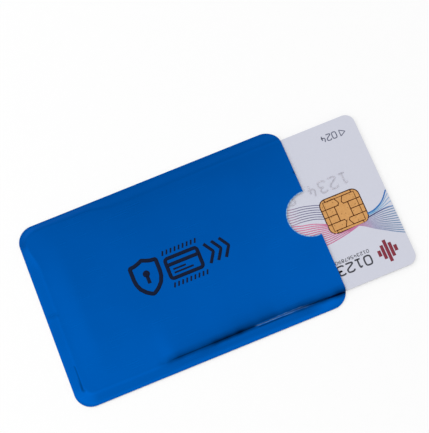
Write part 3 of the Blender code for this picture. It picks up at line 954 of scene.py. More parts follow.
    def fold(self, x: float, y: float) -> tuple[float, float, float, float]:
        """The break in the sheet beside one point.

        Args:
            x: Place along the sleeve.
            y: Place across it, whose sign gives the side.

        Returns:
            Where the break starts across the sleeve, its width, the shoulder above it and its drop.
        """
        if y > 0:
            grown = smooth_step((x - self.soft_fold_start_x) / self.soft_fold_growth)
            grown *= smooth_step((self.soft_fold_end_x - x) / self.soft_fold_decay)
            rise = self.soft_shoulder * grown
            return self.ramp(x, y)[0] - self.soft_fold_width / 2, self.soft_fold_width, rise, rise
        grown = self.grown(x)
        run = min(max((x - self.fold_start_x) / self.fold_run, 0), 1)
        out = smooth_step((run - self.fold_bend_share) / (1 - self.fold_bend_share))
        deeper = smooth_step((run - self.fold_deepen_share) / (1 - self.fold_deepen_share))
        start = self.fold_inner_y + (self.fold_outer_y - self.fold_inner_y) * out
        width = self.fold_inner_width + (self.fold_outer_width - self.fold_inner_width) * out
        drop = self.fold_inner_drop + (self.fold_outer_drop - self.fold_inner_drop) * deeper
        return start, width, self.fold_shoulder * grown, drop * grown

    def grown(self, x: float) -> float:
        """How far the tight fold has grown from its start towards the mouth."""
        return smooth_step((x - self.fold_start_x) / self.fold_growth)

    def ramp(self, x: float, y: float) -> Point:
        """The soft fall to the glued margin beside one point.

        Args:
            x: Place along the sleeve.
            y: Place across it.

        Returns:
            Its start and its end, as distances across the sleeve.
        """
        far = smooth_step((self.far_ramp_x + self.far_ramp_run - x) / self.far_ramp_run)
        far *= smooth_step((y - self.far_ramp_y) / self.far_ramp_run)
        start = self.ramp_start + (self.far_ramp_start - self.ramp_start) * far
        return start, self.ramp_end + (self.far_ramp_end - self.ramp_end) * far

    def underside(self, x: float, y: float) -> float:
        """Height of the sheet's inner face.

        Args:
            x: Place along the sleeve.
            y: Place across it.

        Returns:
            The height at that point.
        """
        start, width, shoulder, drop = self.fold(x, y)
        reach = self.pocket_half_width + self.outside(x, y)
        faded = smooth_step((x - self.pocket_end_x) / self.crown_fade)
        roof = smooth_step((self.roof_start_x - x) / self.roof_run)
        down_roof = min(max(abs(y) - self.roof_ridge, 0) / (start - self.roof_ridge), 1)
        fall = min(abs(y) / start, 1) ** self.crown_power * (1 - roof) + down_roof**self.roof_power * roof
        crown = (1 - fall) * (self.crown - shoulder) * faded + shoulder
        broken = drop * smooth_step((reach - start) / width)
        foot = self.edge_z + shoulder - drop
        ramp_start, ramp_end = self.ramp(x, y)
        foot_y = max(ramp_start, start + width) if y < 0 else ramp_start
        down = (reach - foot_y) / (ramp_end - foot_y)
        even = (1 - self.grown(x)) * smooth_step((self.even_start_y - y) / self.even_run)
        fallen = smooth_step(down) * (1 - even) + even_step(down, self.even_ease_share) * even
        rolls = self.long_roll.at(x, y) + self.cross_roll.at(y, x)
        return self.edge_z + crown - broken - fallen * (foot - self.margin_z) + rolls

    def stretch(self, x: float, y: float) -> float:
        """How much taller the sheet is, measured upright, where it slopes.

        Args:
            x: Place along the sleeve.
            y: Place across it.

        Returns:
            A factor on the sheet's thickness.
        """
        step = self.slope_step
        along = (self.underside(x + step, y) - self.underside(x - step, y)) / (2 * step)
        across = (self.underside(x, y + step) - self.underside(x, y - step)) / (2 * step)
        return min(math.hypot(1, along, across), self.steepest_stretch)

    def top(self, x: float, y: float) -> float:
        """Height of the foil's outer face."""
        lift = self.liner_thickness + self.glue_line + self.foil_thickness
        return self.underside(x, y) + lift * self.stretch(x, y)

    def outline(self) -> Line:
        """The die-cut outline, anticlockwise, with points close enough to follow the pressed shape."""
        x, y, corner = self.half_length, self.half_width, self.corner
        steps, fine = self.corner_steps, self.fine_corner_steps
        half_gap = math.degrees(math.acos(self.notch_inset / self.notch_radius))
        line = arc((corner - x, y - corner), corner, 90, 180, steps)
        line += arc((corner - x, corner - y), corner, 180, 270, steps)
        line += arc((x - corner, corner - y), corner, 270, 360, fine)
        line += arc((x - self.notch_inset, 0), self.notch_radius, -half_gap, half_gap - 360, fine)
        line += arc((x - corner, y - corner), corner, 0, 90, steps)
        return resampled(line + line[:1], self.ramp_step)[:-1]

    def inset(self, x: float, y: float) -> float:
        """How far in from the outline a point is.

        Args:
            x: Place along the sleeve.
            y: Place across it.

        Returns:
            The distance, negative outside the outline.
        """
        over_x = abs(x) - self.half_length + self.corner
        over_y = abs(y) - self.half_width + self.corner
        beyond = math.hypot(max(over_x, 0), max(over_y, 0))
        to_edge = self.corner - beyond - min(max(over_x, over_y), 0)
        to_notch = math.hypot(x - self.half_length + self.notch_inset, y) - self.notch_radius
        return min(to_edge, to_notch)

    def stations(self, low: float, high: float, step: float) -> list[float]:
        """Even stations from low to high, about a step apart."""
        count = max(1, round((high - low) / step))
        return [low + (high - low) * i / count for i in range(count + 1)]

    def inner_points(self, scale: float) -> Line:
        """Grid points inside the outline, close together where the sheet bends.

        Args:
            scale: Times wider than the finest grid.

        Returns:
            The points.
        """
        coarse, ramp = self.coarse_step * scale, self.ramp_step * scale
        fold_along, fold = self.fold_step_along * scale, self.fold_step * scale
        x, y, bend_x, bend_y = self.half_length, self.half_width, self.end_grid_x, self.side_grid_y
        fold_x, fold_low, fold_high = self.fold_start_x, self.fold_grid_low_y, self.fold_grid_high_y
        areas = [
            ((bend_x, x, coarse), (-bend_y, bend_y, coarse)),
            ((-x, bend_x, ramp), (-bend_y, bend_y, coarse)),
            ((-x, x, coarse), (bend_y, y, ramp)),
            ((-x, fold_x, coarse), (-y, -bend_y, ramp)),
            ((fold_x, x, coarse), (-y, fold_low, ramp)),
            ((fold_x, x, fold_along), (fold_low, fold_high, fold)),
        ]
        points = []
        for across, up in areas:
            clear = min(across[2], up[2]) / 2
            grid = [(px, py) for px in self.stations(*across)[1:] for py in self.stations(*up)[1:]]
            points += [point for point in grid if self.inset(*point) > clear]
        return points

    def painted_shade_and_highlight(self, x: float, y: float) -> Point:
        """Painted shade along the fold, in the end crease and in the nick, and the painted highlight on the
        crest.

        Args:
            x: Place along the sleeve.
            y: Place across it.

        Returns:
            The share of painted shade, and the share of uncoated metal that makes the crest's painted
            highlight.
        """
        start, width, _, _ = self.fold(x, -1)
        crest = y + start + width / 2
        above = crest + between(self.shade_drops, x)
        worn = smooth_step((x - self.highlight_start_x) / self.highlight_growth)
        worn *= smooth_step((self.highlight_end_x - x) / self.highlight_decay)
        reaches = self.upper_reaches if above > 0 else self.lower_reaches
        shade = between(self.crest_shade_shares, x) * bell(above / between(reaches, x))
        if above > 0:
            soft = math.exp(-above / self.soft_reach) * (1 - math.exp(-above / self.soft_onset))
            shade += between(self.soft_shade_shares, x) * soft
        short, long = self.ripple_lengths
        shade *= 1 + self.ripple_share * math.sin(x / short) * math.sin(x / long + 1)
        above = crest + self.highlight_drop
        # The painted highlight clears the painted shade on the crest, and a thin painted dark line runs
        # below it.
        shade *= 1 - self.highlight_clear_share * worn * bell(above / self.crest_line)
        crease = bell((above + self.crease_gap) / self.crease_line)
        shade = max(shade, self.crease_shade_share * worn * crease)
        return max(shade, self.crease_and_nick_shade(x, y)), self.crest_highlight(x, above, worn)

    def crease_and_nick_shade(self, x: float, y: float) -> float:
        """Painted shade in the short crease by the closed end and in the nick in the mouth edge.

        Args:
            x: Place along the sleeve.
            y: Place across it.

        Returns:
            How dark the painted shade is at that point.
        """
        crack_x, crack_y = self.crack_middle
        lower = smooth_step((self.crack_widening_y - y) / self.crack_widening_run)
        off_line = x - crack_x - self.crack_lean * (y - crack_y)
        past_end = max(abs(y - crack_y) - self.crack_half_length, 0)
        half_width = self.crack_half_width + self.crack_widening * lower
        crack = math.hypot(off_line / half_width, past_end / self.crack_end)
        crack_shade = self.crack_shade_share + self.crack_more_share * lower
        nick = math.hypot(x - self.nick_middle[0], y - self.nick_middle[1]) / self.nick_radius
        nick_shade = self.nick_shade_share * smooth_step(self.nick_rim - nick)
        return max(crack_shade * smooth_step(self.crack_rim - crack), nick_shade)

    def crest_highlight(self, x: float, above: float, worn: float) -> float:
        """The fold crest's painted highlight: three fine wandering lines of uncoated metal.

        Args:
            x: Place along the sleeve.
            above: Distance up from the crest.
            worn: How strong the painted highlight is there.

        Returns:
            A share of uncoated metal, as a painted highlight.
        """
        if not worn or abs(above) > self.fold_inner_width:
            return 0
        (wide, slow), (narrow, quick) = self.highlight_swings
        wander = wide * math.sin(x / slow) + narrow * math.sin(x / quick + 2)
        parted = smooth_step((x - self.highlight_spread_x) / self.highlight_spread_run)
        spread = self.highlight_spread + self.highlight_spread_growth * parted
        short, long = self.highlight_spot_lengths
        spots = self.highlight_spot_share
        found = 0
        for line in (-1, 0, 1):
            strength = 1 - spots + spots * math.sin(x / short + 2 * line) * math.sin(x / long + line)
            away = (above - line * spread - wander) / self.highlight_line_reach
            found = max(found, worn * strength * bell(away))
        faded = self.highlight_fade_share * smooth_step((x - self.highlight_fade_x) / self.highlight_fade_run)
        return self.brightest_highlight * found * (1 - faded)

    def sheet(self, name: str, bottom: float, top: float, scale: float) -> Piece:
        """One layer of the pressed sheet.

        Args:
            name: The piece's name.
            bottom: Its lower face's distance from the inner face.
            top: Its upper face's distance from the inner face.
            scale: Times wider than the finest grid.

        Returns:
            The piece, with the painted shade and the painted highlight as attributes.
        """
        rim = self.outline()
        flat = [Vector(p) for p in rim + self.inner_points(scale)]
        found = delaunay_2d_cdt(flat, [], [list(range(len(rim)))], 1, WELD_DISTANCE)
        places, faces = found[0], found[2]
        count = len(places)
        rises = [(p.x, p.y, self.underside(p.x, p.y), self.stretch(p.x, p.y)) for p in places]
        points = [(x, y, z + side * stretch) for side in (bottom, top) for x, y, z, stretch in rises]
        upper = [tuple(i + count for i in face) for face in faces]
        lower = [tuple(reversed(face)) for face in faces]
        sides = {(a, b) for face in faces for a, b in zip(face, face[1:] + face[:1])}
        walls = [(a, b, b + count, a + count) for a, b in sides if (b, a) not in sides]
        mesh = bpy.data.meshes.new(name)
        mesh.from_pydata(points, [], upper + lower + walls)
        mesh.validate()
        marks = [self.painted_shade_and_highlight(p.x, p.y) for p in places] * 2
        for index, label in enumerate(("fold_shade", "fold_highlight")):
            values = mesh.attributes.new(label, "FLOAT", "POINT")
            values.data.foreach_set("value", [mark[index] for mark in marks])
        shade_smooth(mesh)
        return new_piece(name, mesh)

    def build(self) -> None:
        """Make the liner and the foil in place of the plain solids."""
        foil_bottom = self.liner_thickness + self.glue_line
        foil = self.sheet("front_foil_sheet", foil_bottom, foil_bottom + self.foil_thickness, 1)
        FOIL.coat(foil)
        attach(foil, Body.SLEEVE.value)
        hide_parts("front_foil")
        liner = self.sheet("front_liner_sheet", 0, self.liner_thickness, self.liner_scale)
        PAPER.coat(liner)
        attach(liner, Body.SLEEVE.value)
        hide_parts("front_liner")
        for piece in (foil, liner):
            log.info("%s: %d faces", piece.name, len(piece.data.polygons))


@dataclass(frozen=True)
class Stroke:
    """One line that a profile runs along.

    The breadth scales the profile from the line's first point to its last.
    """

    points: list[Place]
    closed: bool = False
    first_breadth: float = 1
    last_breadth: float = 1


@dataclass(frozen=True)
class StrokeTool:
    """Geometry node trees that run a profile along lines: flat for ink, domed for embossing."""

    dome_steps: int = 9
    # Above 1, so that the very tip keeps a little breadth.
    tip_share: float = 1.02
    breadth_name: str = "breadth"

    def tree(self, name: str, domed: bool) -> Tree:
        """Build a tree once.

        Args:
            name: The tree's name.
            domed: Whether the profile is a dome with rounded ends, and not a flat ribbon.

        Returns:
            The tree, with inputs for the line's width, height and point spacing and its material.
        """
        found = bpy.data.node_groups.get(name)
        if found:
            return found
        tree = bpy.data.node_groups.new(name, "GeometryNodeTree")
        tree.interface.new_socket("Geometry", in_out="INPUT", socket_type="NodeSocketGeometry")
        for label in ("Line width", "Line height", "Point spacing"):
            tree.interface.new_socket(label, in_out="INPUT", socket_type="NodeSocketFloat")
        tree.interface.new_socket("Material", in_out="INPUT", socket_type="NodeSocketMaterial")
        tree.interface.new_socket("Geometry", in_out="OUTPUT", socket_type="NodeSocketGeometry")
        given = add(tree, "NodeGroupInput").outputs
        lines = add(tree, "GeometryNodeMeshToCurve", inputs={0: given["Geometry"]})
        spacing = {"Curve": lines, "Length": given["Point spacing"]}
        spaced = add(tree, "GeometryNodeResampleCurve", {"mode": "LENGTH"}, spacing)
        upright = add(tree, "GeometryNodeSetCurveNormal", {"mode": "Z_UP"}, {0: spaced})
        if domed:
            half_width = add(tree, "ShaderNodeMath", TIMES, {0: given["Line width"], 1: 0.5})
            breadth = self.rounded_ends(tree, half_width)
            profile = self.dome(tree, half_width, given["Line height"])
        else:
            named = {"Name": self.breadth_name}
            breadth = add(tree, "GeometryNodeInputNamedAttribute", NUMBERS, named)
            size = {"Width": given["Line width"], "Height": given["Line height"]}
            profile = add(tree, "GeometryNodeCurvePrimitiveQuadrilateral", inputs=size)
        line = add(tree, "GeometryNodeSetCurveRadius", inputs={"Curve": upright, "Radius": breadth})
        path = {"Curve": line, "Profile Curve": profile, "Fill Caps": True}
        swept = add(tree, "GeometryNodeCurveToMesh", inputs=path)
        whole = add(tree, "GeometryNodeRealizeInstances", inputs={0: swept})
        dress = {"Geometry": whole, "Material": given["Material"]}
        dressed = add(tree, "GeometryNodeSetMaterial", inputs=dress)
        add(tree, "NodeGroupOutput", inputs={0: dressed})
        return tree

    def dome(self, tree: Tree, half_width: Node, height: Socket) -> Node:
        """Add a closed half-round profile, its round side up.

        Args:
            tree: The tree that takes the nodes.
            half_width: Half the profile's width.
            height: Its height.

        Returns:
            The profile.
        """
        turn = {"Resolution": self.dome_steps, "Radius": 1, "Start Angle": math.pi, "Sweep Angle": math.pi}
        half_round = add(tree, "GeometryNodeCurveArc", inputs=turn)
        closed = add(tree, "GeometryNodeSetSplineCyclic", inputs={"Geometry": half_round, "Cyclic": True})
        size = add(tree, "ShaderNodeCombineXYZ", inputs={0: half_width, 1: height, 2: 1})
        return add(tree, "GeometryNodeTransform", inputs={"Geometry": closed, "Scale": size})

    def rounded_ends(self, tree: Tree, reach: Node) -> Node:
        """Add the breadth that rounds off both ends of each open line.

        Args:
            tree: The tree that takes the nodes.
            reach: How far in from its tips a line is rounded.

        Returns:
            The breadth at each point.
        """
        along = add(tree, "GeometryNodeSplineParameter").outputs["Length"]
        length = add(tree, "GeometryNodeSplineLength").outputs["Length"]
        left = add(tree, "ShaderNodeMath", MINUS, {0: length, 1: along})
        nearest = add(tree, "ShaderNodeMath", {"operation": "MINIMUM"}, {0: along, 1: left})
        fall = {"Value": nearest, "From Max": reach, "To Min": 1, "To Max": 0}
        share = add(tree, "ShaderNodeMapRange", inputs=fall)
        squared = add(tree, "ShaderNodeMath", TIMES, {0: share, 1: share})
        rest = add(tree, "ShaderNodeMath", MINUS, {0: self.tip_share, 1: squared})
        round_end = add(tree, "ShaderNodeMath", {"operation": "SQRT"}, {0: rest})
        closed = add(tree, "GeometryNodeInputSplineCyclic")
        return add(tree, "ShaderNodeMath", LARGER, {0: round_end, 1: closed})

    def run(
        self,
        name: str,
        strokes: list[Stroke],
        width: float,
        height: float,
        spacing: float,
        finish: Finish,
        domed: bool = False,
    ) -> Piece:
        """Run a profile along strokes and keep the result as a plain mesh.

        Args:
            name: The piece's name.
            strokes: The lines.
            width: The profile's width.
            height: Its height.
            spacing: Distance between points along a line.
            finish: The piece's finish.
            domed: Whether the profile is a dome, and not a ribbon.

        Returns:
            The piece.
        """
        points, edges, breadths = [], [], []
        for stroke in strokes:
            first, count = len(points), len(stroke.points)
            points += stroke.points
            edges += [(first + i, first + i + 1) for i in range(count - 1)]
            grown = stroke.last_breadth - stroke.first_breadth
            breadths += [stroke.first_breadth + grown * i / (count - 1) for i in range(count)]
            if stroke.closed:
                edges.append((len(points) - 1, first))
        guide = bpy.data.meshes.new(name + "_guide")
        guide.from_pydata(points, edges, [])
        guide.attributes.new(self.breadth_name, "FLOAT", "POINT").data.foreach_set("value", breadths)
        source = new_piece(name + "_source", guide)
        modifier = source.modifiers.new("stroke", "NODES")
        modifier.node_group = self.tree("domed_stroke" if domed else "printed_stroke", domed)
        values = {"Line width": width, "Line height": height, "Point spacing": spacing}
        values["Material"] = finish.material()
        for item in modifier.node_group.interface.items_tree:
            if item.in_out == "INPUT" and item.name in values:
                modifier[item.identifier] = values[item.name]
        bpy.context.view_layer.update()
        graph = bpy.context.evaluated_depsgraph_get()
        mesh = bpy.data.meshes.new_from_object(source.evaluated_get(graph))
        mesh.name = name
        bpy.data.objects.remove(source, do_unlink=True)
        bpy.data.meshes.remove(guide)
        if domed:
            shade_smooth(mesh)
        return new_piece(name, mesh)


STROKES = StrokeTool()

# Each digit's strokes as shares of its width and height, for a plain machine hand.
DIGIT_STROKE_SHARES = {
    "0": [([(0, 0.15), (0, 0.85), (0.2, 1), (0.8, 1), (1, 0.85), (1, 0.15), (0.8, 0), (0.2, 0)], True)],
    "1": [([(0.15, 0.8), (0.55, 1), (0.55, 0)], False), ([(0.15, 0), (0.95, 0)], False)],
    "2": [([(0, 0.8), (0.1, 1), (0.9, 1), (1, 0.8), (1, 0.6), (0, 0.2), (0, 0), (1, 0)], False)],
    "3": [
        ([(0, 0.9), (0.2, 1), (0.9, 1), (0.95, 0.6), (0.4, 0.54)], False),
        ([(0.4, 0.54), (1, 0.5), (1, 0.05), (0.8, 0), (0.1, 0), (0, 0.15)], False),
    ],
    "4": [([(0.3, 1), (0, 0.35), (1, 0.35)], False), ([(0.75, 0.7), (0.75, 0)], False)],
    "5": [
        ([(0.95, 1), (0.1, 1), (0.05, 0.57), (0.9, 0.6), (1, 0.4), (1, 0.05), (0.8, 0), (0.05, 0)], False),
    ],
    "6": [
        ([(0.85, 1), (0.3, 0.85), (0, 0.5), (0, 0.3)], False),
        ([(0, 0.1), (0, 0.5), (0.2, 0.56), (0.8, 0.56), (1, 0.48), (1, 0.1), (0.8, 0), (0.2, 0)], True),
    ],
    "7": [([(0, 0.85), (0, 1), (1, 1), (1, 0.8), (0.4, 0.4), (0.35, 0)], False)],
    "8": [
        (
            [(0.1, 0.65), (0.1, 0.9), (0.3, 1), (0.7, 1), (0.9, 0.9), (0.9, 0.65), (0.7, 0.56), (0.3, 0.56)],
            True,
        ),
        ([(0, 0.12), (0, 0.44), (0.2, 0.56), (0.8, 0.56), (1, 0.44), (1, 0.12), (0.8, 0), (0.2, 0)], True),
    ],
    "9": [
        ([(0, 0.9), (0, 0.52), (0.2, 0.44), (0.8, 0.44), (1, 0.5), (1, 0.9), (0.8, 1), (0.2, 1)], True),
        ([(1, 0.7), (1, 0.5), (0.7, 0.15), (0.15, 0)], False),
    ],
}


@dataclass(frozen=True)
class DigitRow:
    """A row of plain digits that reads along -X with its tops towards -Y, as on the turned card."""

    digits: str
    first_x: float
    base_y: float
    digit_width: float
    digit_height: float
    pitch: float

    def strokes(self, z: float) -> list[Stroke]:
        """The digits' strokes in place.

        Args:
            z: The height that they lie at.

        Returns:
            The strokes. A blank leaves a gap in the row.
        """
        found = []
        for index, digit in enumerate(self.digits):
            for shares, closed in DIGIT_STROKE_SHARES.get(digit, []):
                sized = [(x * self.digit_width, y * self.digit_height) for x, y in shares]
                if len(sized) > 2:
                    sized = softened(sized, closed)
                left = self.first_x - index * self.pitch + self.digit_width / 2
                found.append(Stroke([(left - x, self.base_y - y, z) for x, y in sized], closed))
        return found


@dataclass
class SleevePrint:
    """The black print on the sleeve: a keyhole shield, a card between two tick rows, and three pointers."""

    sheet: FrontSheet
    ink_lift: float = 0.000012
    ink_thickness: float = 0.000014
    spacing: float = 0.0004
    shield_middle: Point = (-0.0107, 0.0006)
    shield_half_width: float = 0.0044
    shield_half_height: float = 0.0058
    shield_stroke: float = 0.0013
    # The shield's right side from its peak to its point, as shares of its half width and half height.
    right_side_shares: tuple[Point, ...] = (
        (0, 1), (0.3, 0.9), (0.62, 0.82), (0.95, 0.8), (1, 0.75), (1, 0.5), (1, 0.1),
        (0.95, -0.2), (0.78, -0.52), (0.45, -0.8), (0.12, -0.97), (0, -1),
    )
    keyhole_radius: float = 0.00062
    keyhole_rise: float = 0.0011
    keyhole_steps: int = 16
    keyhole_stroke: float = 0.00115
    slot_top: float = 0.0006
    slot_bottom: float = -0.0022
    card_middle: Point = (0.0016, 0.0004)
    card_halves: Point = (0.0054, 0.0034)
    card_corner: float = 0.0009
    card_corner_steps: int = 6
    card_stroke: float = 0.0012
    card_band_rise: float = 0.0012
    # Where each printed row starts and ends along the card, and its height from the card's middle.
    card_rows: tuple[Place, ...] = ((-0.0039, 0.0004, -0.0006), (-0.0039, 0.0026, -0.0018))
    fine_stroke: float = 0.0006
    tick_stroke: float = 0.00055
    tick_height: float = 0.0015
    tick_lean: float = 0.0006
    tick_pitch: float = 0.00138
    tick_count: int = 9
    tick_rows_y: tuple[float, ...] = (0.0052, -0.0059)
    pointer_xs: tuple[float, ...] = (0.0095, 0.0121, 0.0147)
    pointer_depth: float = 0.0021
    pointer_half_height: float = 0.0034
    pointer_stroke: float = 0.0010

    def laid(self, line: Line, closed: bool = False) -> Stroke:
        """A line laid on the foil.

        Args:
            line: Its points.
            closed: Whether its last point joins its first.

        Returns:
            The stroke, with points close enough to follow the pressed shape.
        """
        places = resampled(line + line[:1] if closed else line, self.spacing)
        placed = [(x, y, self.sheet.top(x, y) + self.ink_lift) for x, y in places]
        return Stroke(placed[:-1], True) if closed else Stroke(placed)

    def shield(self) -> Line:
        """The shield's outline: a low peak, straight shoulders and sides that meet in a point."""
        x, y = self.shield_middle
        wide, tall = self.shield_half_width, self.shield_half_height
        right = [(px * wide, py * tall) for px, py in self.right_side_shares]
        left = [(-px, py) for px, py in reversed(right[1:-1])]
        return [(x + px, y + py) for px, py in right + left]

    def ticks(self) -> list[Stroke]:
        """The leaning ticks above and below the card."""
        found = []
        first = self.card_middle[0] - self.tick_pitch * (self.tick_count - 1) / 2
        for row_y in self.tick_rows_y:
            for index in range(self.tick_count):
                x = first + index * self.tick_pitch
                found.append(self.laid([(x, row_y), (x + self.tick_lean, row_y + self.tick_height)]))
        return found

    def build(self) -> None:
        """Make the marks as thin films of ink on the foil."""
        x, y = self.shield_middle
        ring = arc((x, y + self.keyhole_rise), self.keyhole_radius, 0, 360, self.keyhole_steps)[:-1]
        slot = [(x, y + self.slot_top), (x, y + self.slot_bottom)]
        card_x, card_y = self.card_middle
        steps = self.card_corner_steps
        card = rounded_rectangle(self.card_middle, self.card_halves, self.card_corner, steps)
        half, band_y = self.card_halves[0], card_y + self.card_band_rise
        band = [(card_x - half, band_y), (card_x + half, band_y)]
        rows = []
        for start, end, up in self.card_rows:
            rows.append(self.laid([(card_x + start, card_y + up), (card_x + end, card_y + up)]))
        pointers = []
        for back in self.pointer_xs:
            tip, tall = back + self.pointer_depth, self.pointer_half_height
            pointers.append(self.laid([(back, card_y + tall), (tip, card_y), (back, card_y - tall)]))
        pieces = {
            "printed_shield": ([self.laid(self.shield(), True)], self.shield_stroke),
            "printed_keyhole": ([self.laid(ring, True), self.laid(slot)], self.keyhole_stroke),
            "printed_card": ([self.laid(card, True), self.laid(band)], self.card_stroke),
            "printed_card_rows": (rows, self.fine_stroke),
            "printed_ticks": (self.ticks(), self.tick_stroke),
            "printed_pointers": (pointers, self.pointer_stroke),
        }
        for name, (strokes, width) in pieces.items():
            piece = STROKES.run(name, strokes, width, self.ink_thickness, self.spacing, BLACK_INK)
            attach(piece, Body.SLEEVE.value)
            log.info("%s: %d strokes", name, len(strokes))


@dataclass
class CardFace:
    """The card's printed and embossed front."""

    top_z: float = 0.00113
    ink_thickness: float = 0.000010
    ink_lift: float = 0.000006
    # Inks overlap in the real print. Here each line lies this much above the last one.
    ink_step: float = 0.0000012
    line_steps: int = 10
    line_spacing: float = 0.0003
    upper_line_count: int = 7
    lower_line_count: int = 12
    upper_line_width: float = 0.00026
    lower_line_width: float = 0.00033
    upper_faint_share: float = 0.4
    upper_past_chip_shares: Point = (0.5, 1.0)
    upper_past_chip_every: int = 2
    lower_past_chip_shares: Point = (0.4, 0.9)
    sweep_width: float = 0.00042
    sweep_steps: int = 6
    blue_breadth_shares: Point = (1.4, 0.95)
    navy_breadth_shares: Point = (1.0, 0.8)
    chip_middle: Point = CHIP_MIDDLE
    chip_halves: Point = (0.00660, 0.00600)
    chip_corner: float = 0.0023
    pointer: tuple[Point, ...] = ((0.0656, 0.0214), (0.0638, 0.0225), (0.0638, 0.0203))
    pointer_width: float = 0.00030
    small_row: DigitRow = DigitRow("024", 0.0619, 0.0226, 0.0014, 0.0022, 0.0019)
    small_width: float = 0.00036
    large_row: DigitRow = DigitRow("0123456789", 0.0553, -0.0195, 0.0022, 0.0030, 0.0030)
    large_width: float = 0.00052
    digit_spacing: float = 0.0002
    fine_row: DigitRow = DigitRow("0123456789012345", 0.0563, -0.0177, 0.0007, 0.0010, 0.00105)
    fine_width: float = 0.00019
    fine_spacing: float = 0.0001
    diamond_middle: Point = (0.0622, -0.0205)
    diamond_reach: float = 0.0037
    bars_on_a_side: int = 2
    bar_pitch: float = 0.00135
    bar_width: float = 0.00106
    number: DigitRow = DigitRow("1234 5678 9012 3456", 0.0588, 0.0087, 0.0023, 0.0039, 0.00363)
    date: DigitRow = DigitRow("12 34", 0.0300, 0.0150, 0.0019, 0.0027, 0.0026)
    emboss_height: float = 0.00031
    emboss_width: float = 0.00050
    back_z: float = 0.00037
    hollow_width: float = 0.00042

    upper_guides: tuple[Line, Line] = (
        [
            (-0.0157, 0.0150), (-0.002, 0.0165), (0.012, 0.0140), (0.024, 0.0088), (0.0325, 0.0054),
            (0.0388, 0.0037), (0.0425, 0.0032), (0.0450, 0.0026), (0.0482, 0.0015), (0.0530, -0.0012),
            (0.0575, -0.0052), (0.0610, -0.0069), (0.0633, -0.0067), (0.0649, -0.0061), (0.0665, -0.0052),
            (0.0677, -0.0041), (0.0688, -0.0028), (0.06958, -0.0018),
        ],
        [
            (-0.0157, -0.0010), (-0.002, 0.0030), (0.012, 0.0048), (0.024, 0.0026), (0.0325, -0.0006),
            (0.0380, -0.0014), (0.0408, -0.0015), (0.0442, -0.0020), (0.0462, -0.0026), (0.0482, -0.0035),
            (0.0540, -0.0062), (0.0585, -0.0073), (0.0620, -0.0075), (0.0637, -0.0073), (0.0660, -0.0069),
            (0.0675, -0.0065), (0.0685, -0.0062), (0.06962, -0.0059),
        ],
    )
    lower_guides: tuple[Line, Line] = (
        [
            (-0.0157, -0.0020), (-0.002, 0.0010), (0.012, 0.0014), (0.024, 0.0006), (0.0325, -0.0009),
            (0.0379, -0.0019), (0.0406, -0.0027), (0.0436, -0.0034), (0.0459, -0.0043), (0.0480, -0.0053),
            (0.0530, -0.0078), (0.0581, -0.0099), (0.0615, -0.0123), (0.0646, -0.0142), (0.0667, -0.0155),
            (0.06962, -0.0171),
        ],
        [
            (-0.0157, -0.0180), (-0.002, -0.0150), (0.012, -0.0112), (0.024, -0.0098), (0.0325, -0.0104),
            (0.0385, -0.0112), (0.0420, -0.0115), (0.0454, -0.0115), (0.0481, -0.0113), (0.0519, -0.0107),
            (0.0555, -0.0099), (0.0585, -0.0090), (0.0609, -0.0083), (0.0642, -0.0077), (0.0663, -0.0075),
            (0.06962, -0.0076),
        ],
    )
    blue_sweep: tuple[Point, ...] = (
        (0.0612, -0.00690), (0.0633, -0.00665), (0.0649, -0.00607), (0.06646, -0.00522),
        (0.06774, -0.0041), (0.06884, -0.00277), (0.06948, -0.00192),
    )
    navy_sweep: tuple[Point, ...] = (
        (0.0609, -0.0081), (0.0625, -0.00795), (0.0642, -0.0077), (0.06626, -0.00747),
        (0.06789, -0.0074), (0.06958, -0.0077),
    )

    def over_chip(self, x: float, y: float) -> bool:
        """Whether a point is over the chip module.

        Args:
            x: Place along the card.
            y: Place across it.

        Returns:
            True inside the module's rounded outline.
        """
        over_x = abs(x - self.chip_middle[0]) - self.chip_halves[0] + self.chip_corner
        over_y = abs(y - self.chip_middle[1]) - self.chip_halves[1] + self.chip_corner
        return math.hypot(max(over_x, 0), max(over_y, 0)) < self.chip_corner

    def band(
        self,
        guides: tuple[Line, Line],
        count: int,
        faint_share: float,
        past_chip_shares: Point,
        past_chip_every: int = 1,
    ) -> list[Stroke]:
        """Lines spread evenly between two guides, cut where the chip is.

        Args:
            guides: The first and the last line.
            count: Number of lines.
            faint_share: The first line's breadth, as a share of the last one's.
            past_chip_shares: Breadth just past the chip and at the card's edge, as shares.
            past_chip_every: The step from one line that goes on past the chip to the next.

        Returns:
            The lines' visible stretches, each line a little above the one before.
        """
        first, last = (through(guide, self.line_steps) for guide in guides)
        found = []
        for index in range(count):
            share = index / (count - 1)
            breadth = faint_share + (1 - faint_share) * share
            z = self.top_z + self.ink_lift + index * self.ink_step
            stretch: list[Place] = []
            for (ax, ay), (bx, by) in zip(first, last):
                x, y = ax + (bx - ax) * share, ay + (by - ay) * share
                if not self.over_chip(x, y):
                    stretch.append((x, y, z))
                    continue
                if len(stretch) > 1:
                    found.append(Stroke(stretch, False, breadth, breadth))
                stretch = []
            if len(stretch) > 1 and index % past_chip_every == 0:
                near_share, edge_share = past_chip_shares
                found.append(Stroke(stretch, False, breadth * near_share, breadth * edge_share))
        return found

    def printed(
        self, name: str, strokes: list[Stroke], width: float, finish: Finish, spacing: float
    ) -> None:
        """Print a film of ink on the card.

        Args:
            name: The piece's name.
            strokes: The lines.
            width: Their width.
            finish: The ink.
            spacing: Distance between points along a line.
        """
        piece = STROKES.run(name, strokes, width, self.ink_thickness, spacing, finish)
        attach(piece, Body.CARD.value)
        log.info("%s: %d strokes", name, len(strokes))

    def laid(
        self, line: Line, closed: bool = False, breadth_shares: Point = (1, 1), level: int = 0
    ) -> Stroke:
        """A flat line laid on the card's face.

        Args:
            line: Its points.
            closed: Whether its last point joins its first.
            breadth_shares: Its breadth at its first and last point.
            level: Ink steps above the face.

        Returns:
            The stroke.
        """
        z = self.top_z + self.ink_lift + level * self.ink_step
        return Stroke([(x, y, z) for x, y in line], closed, *breadth_shares)

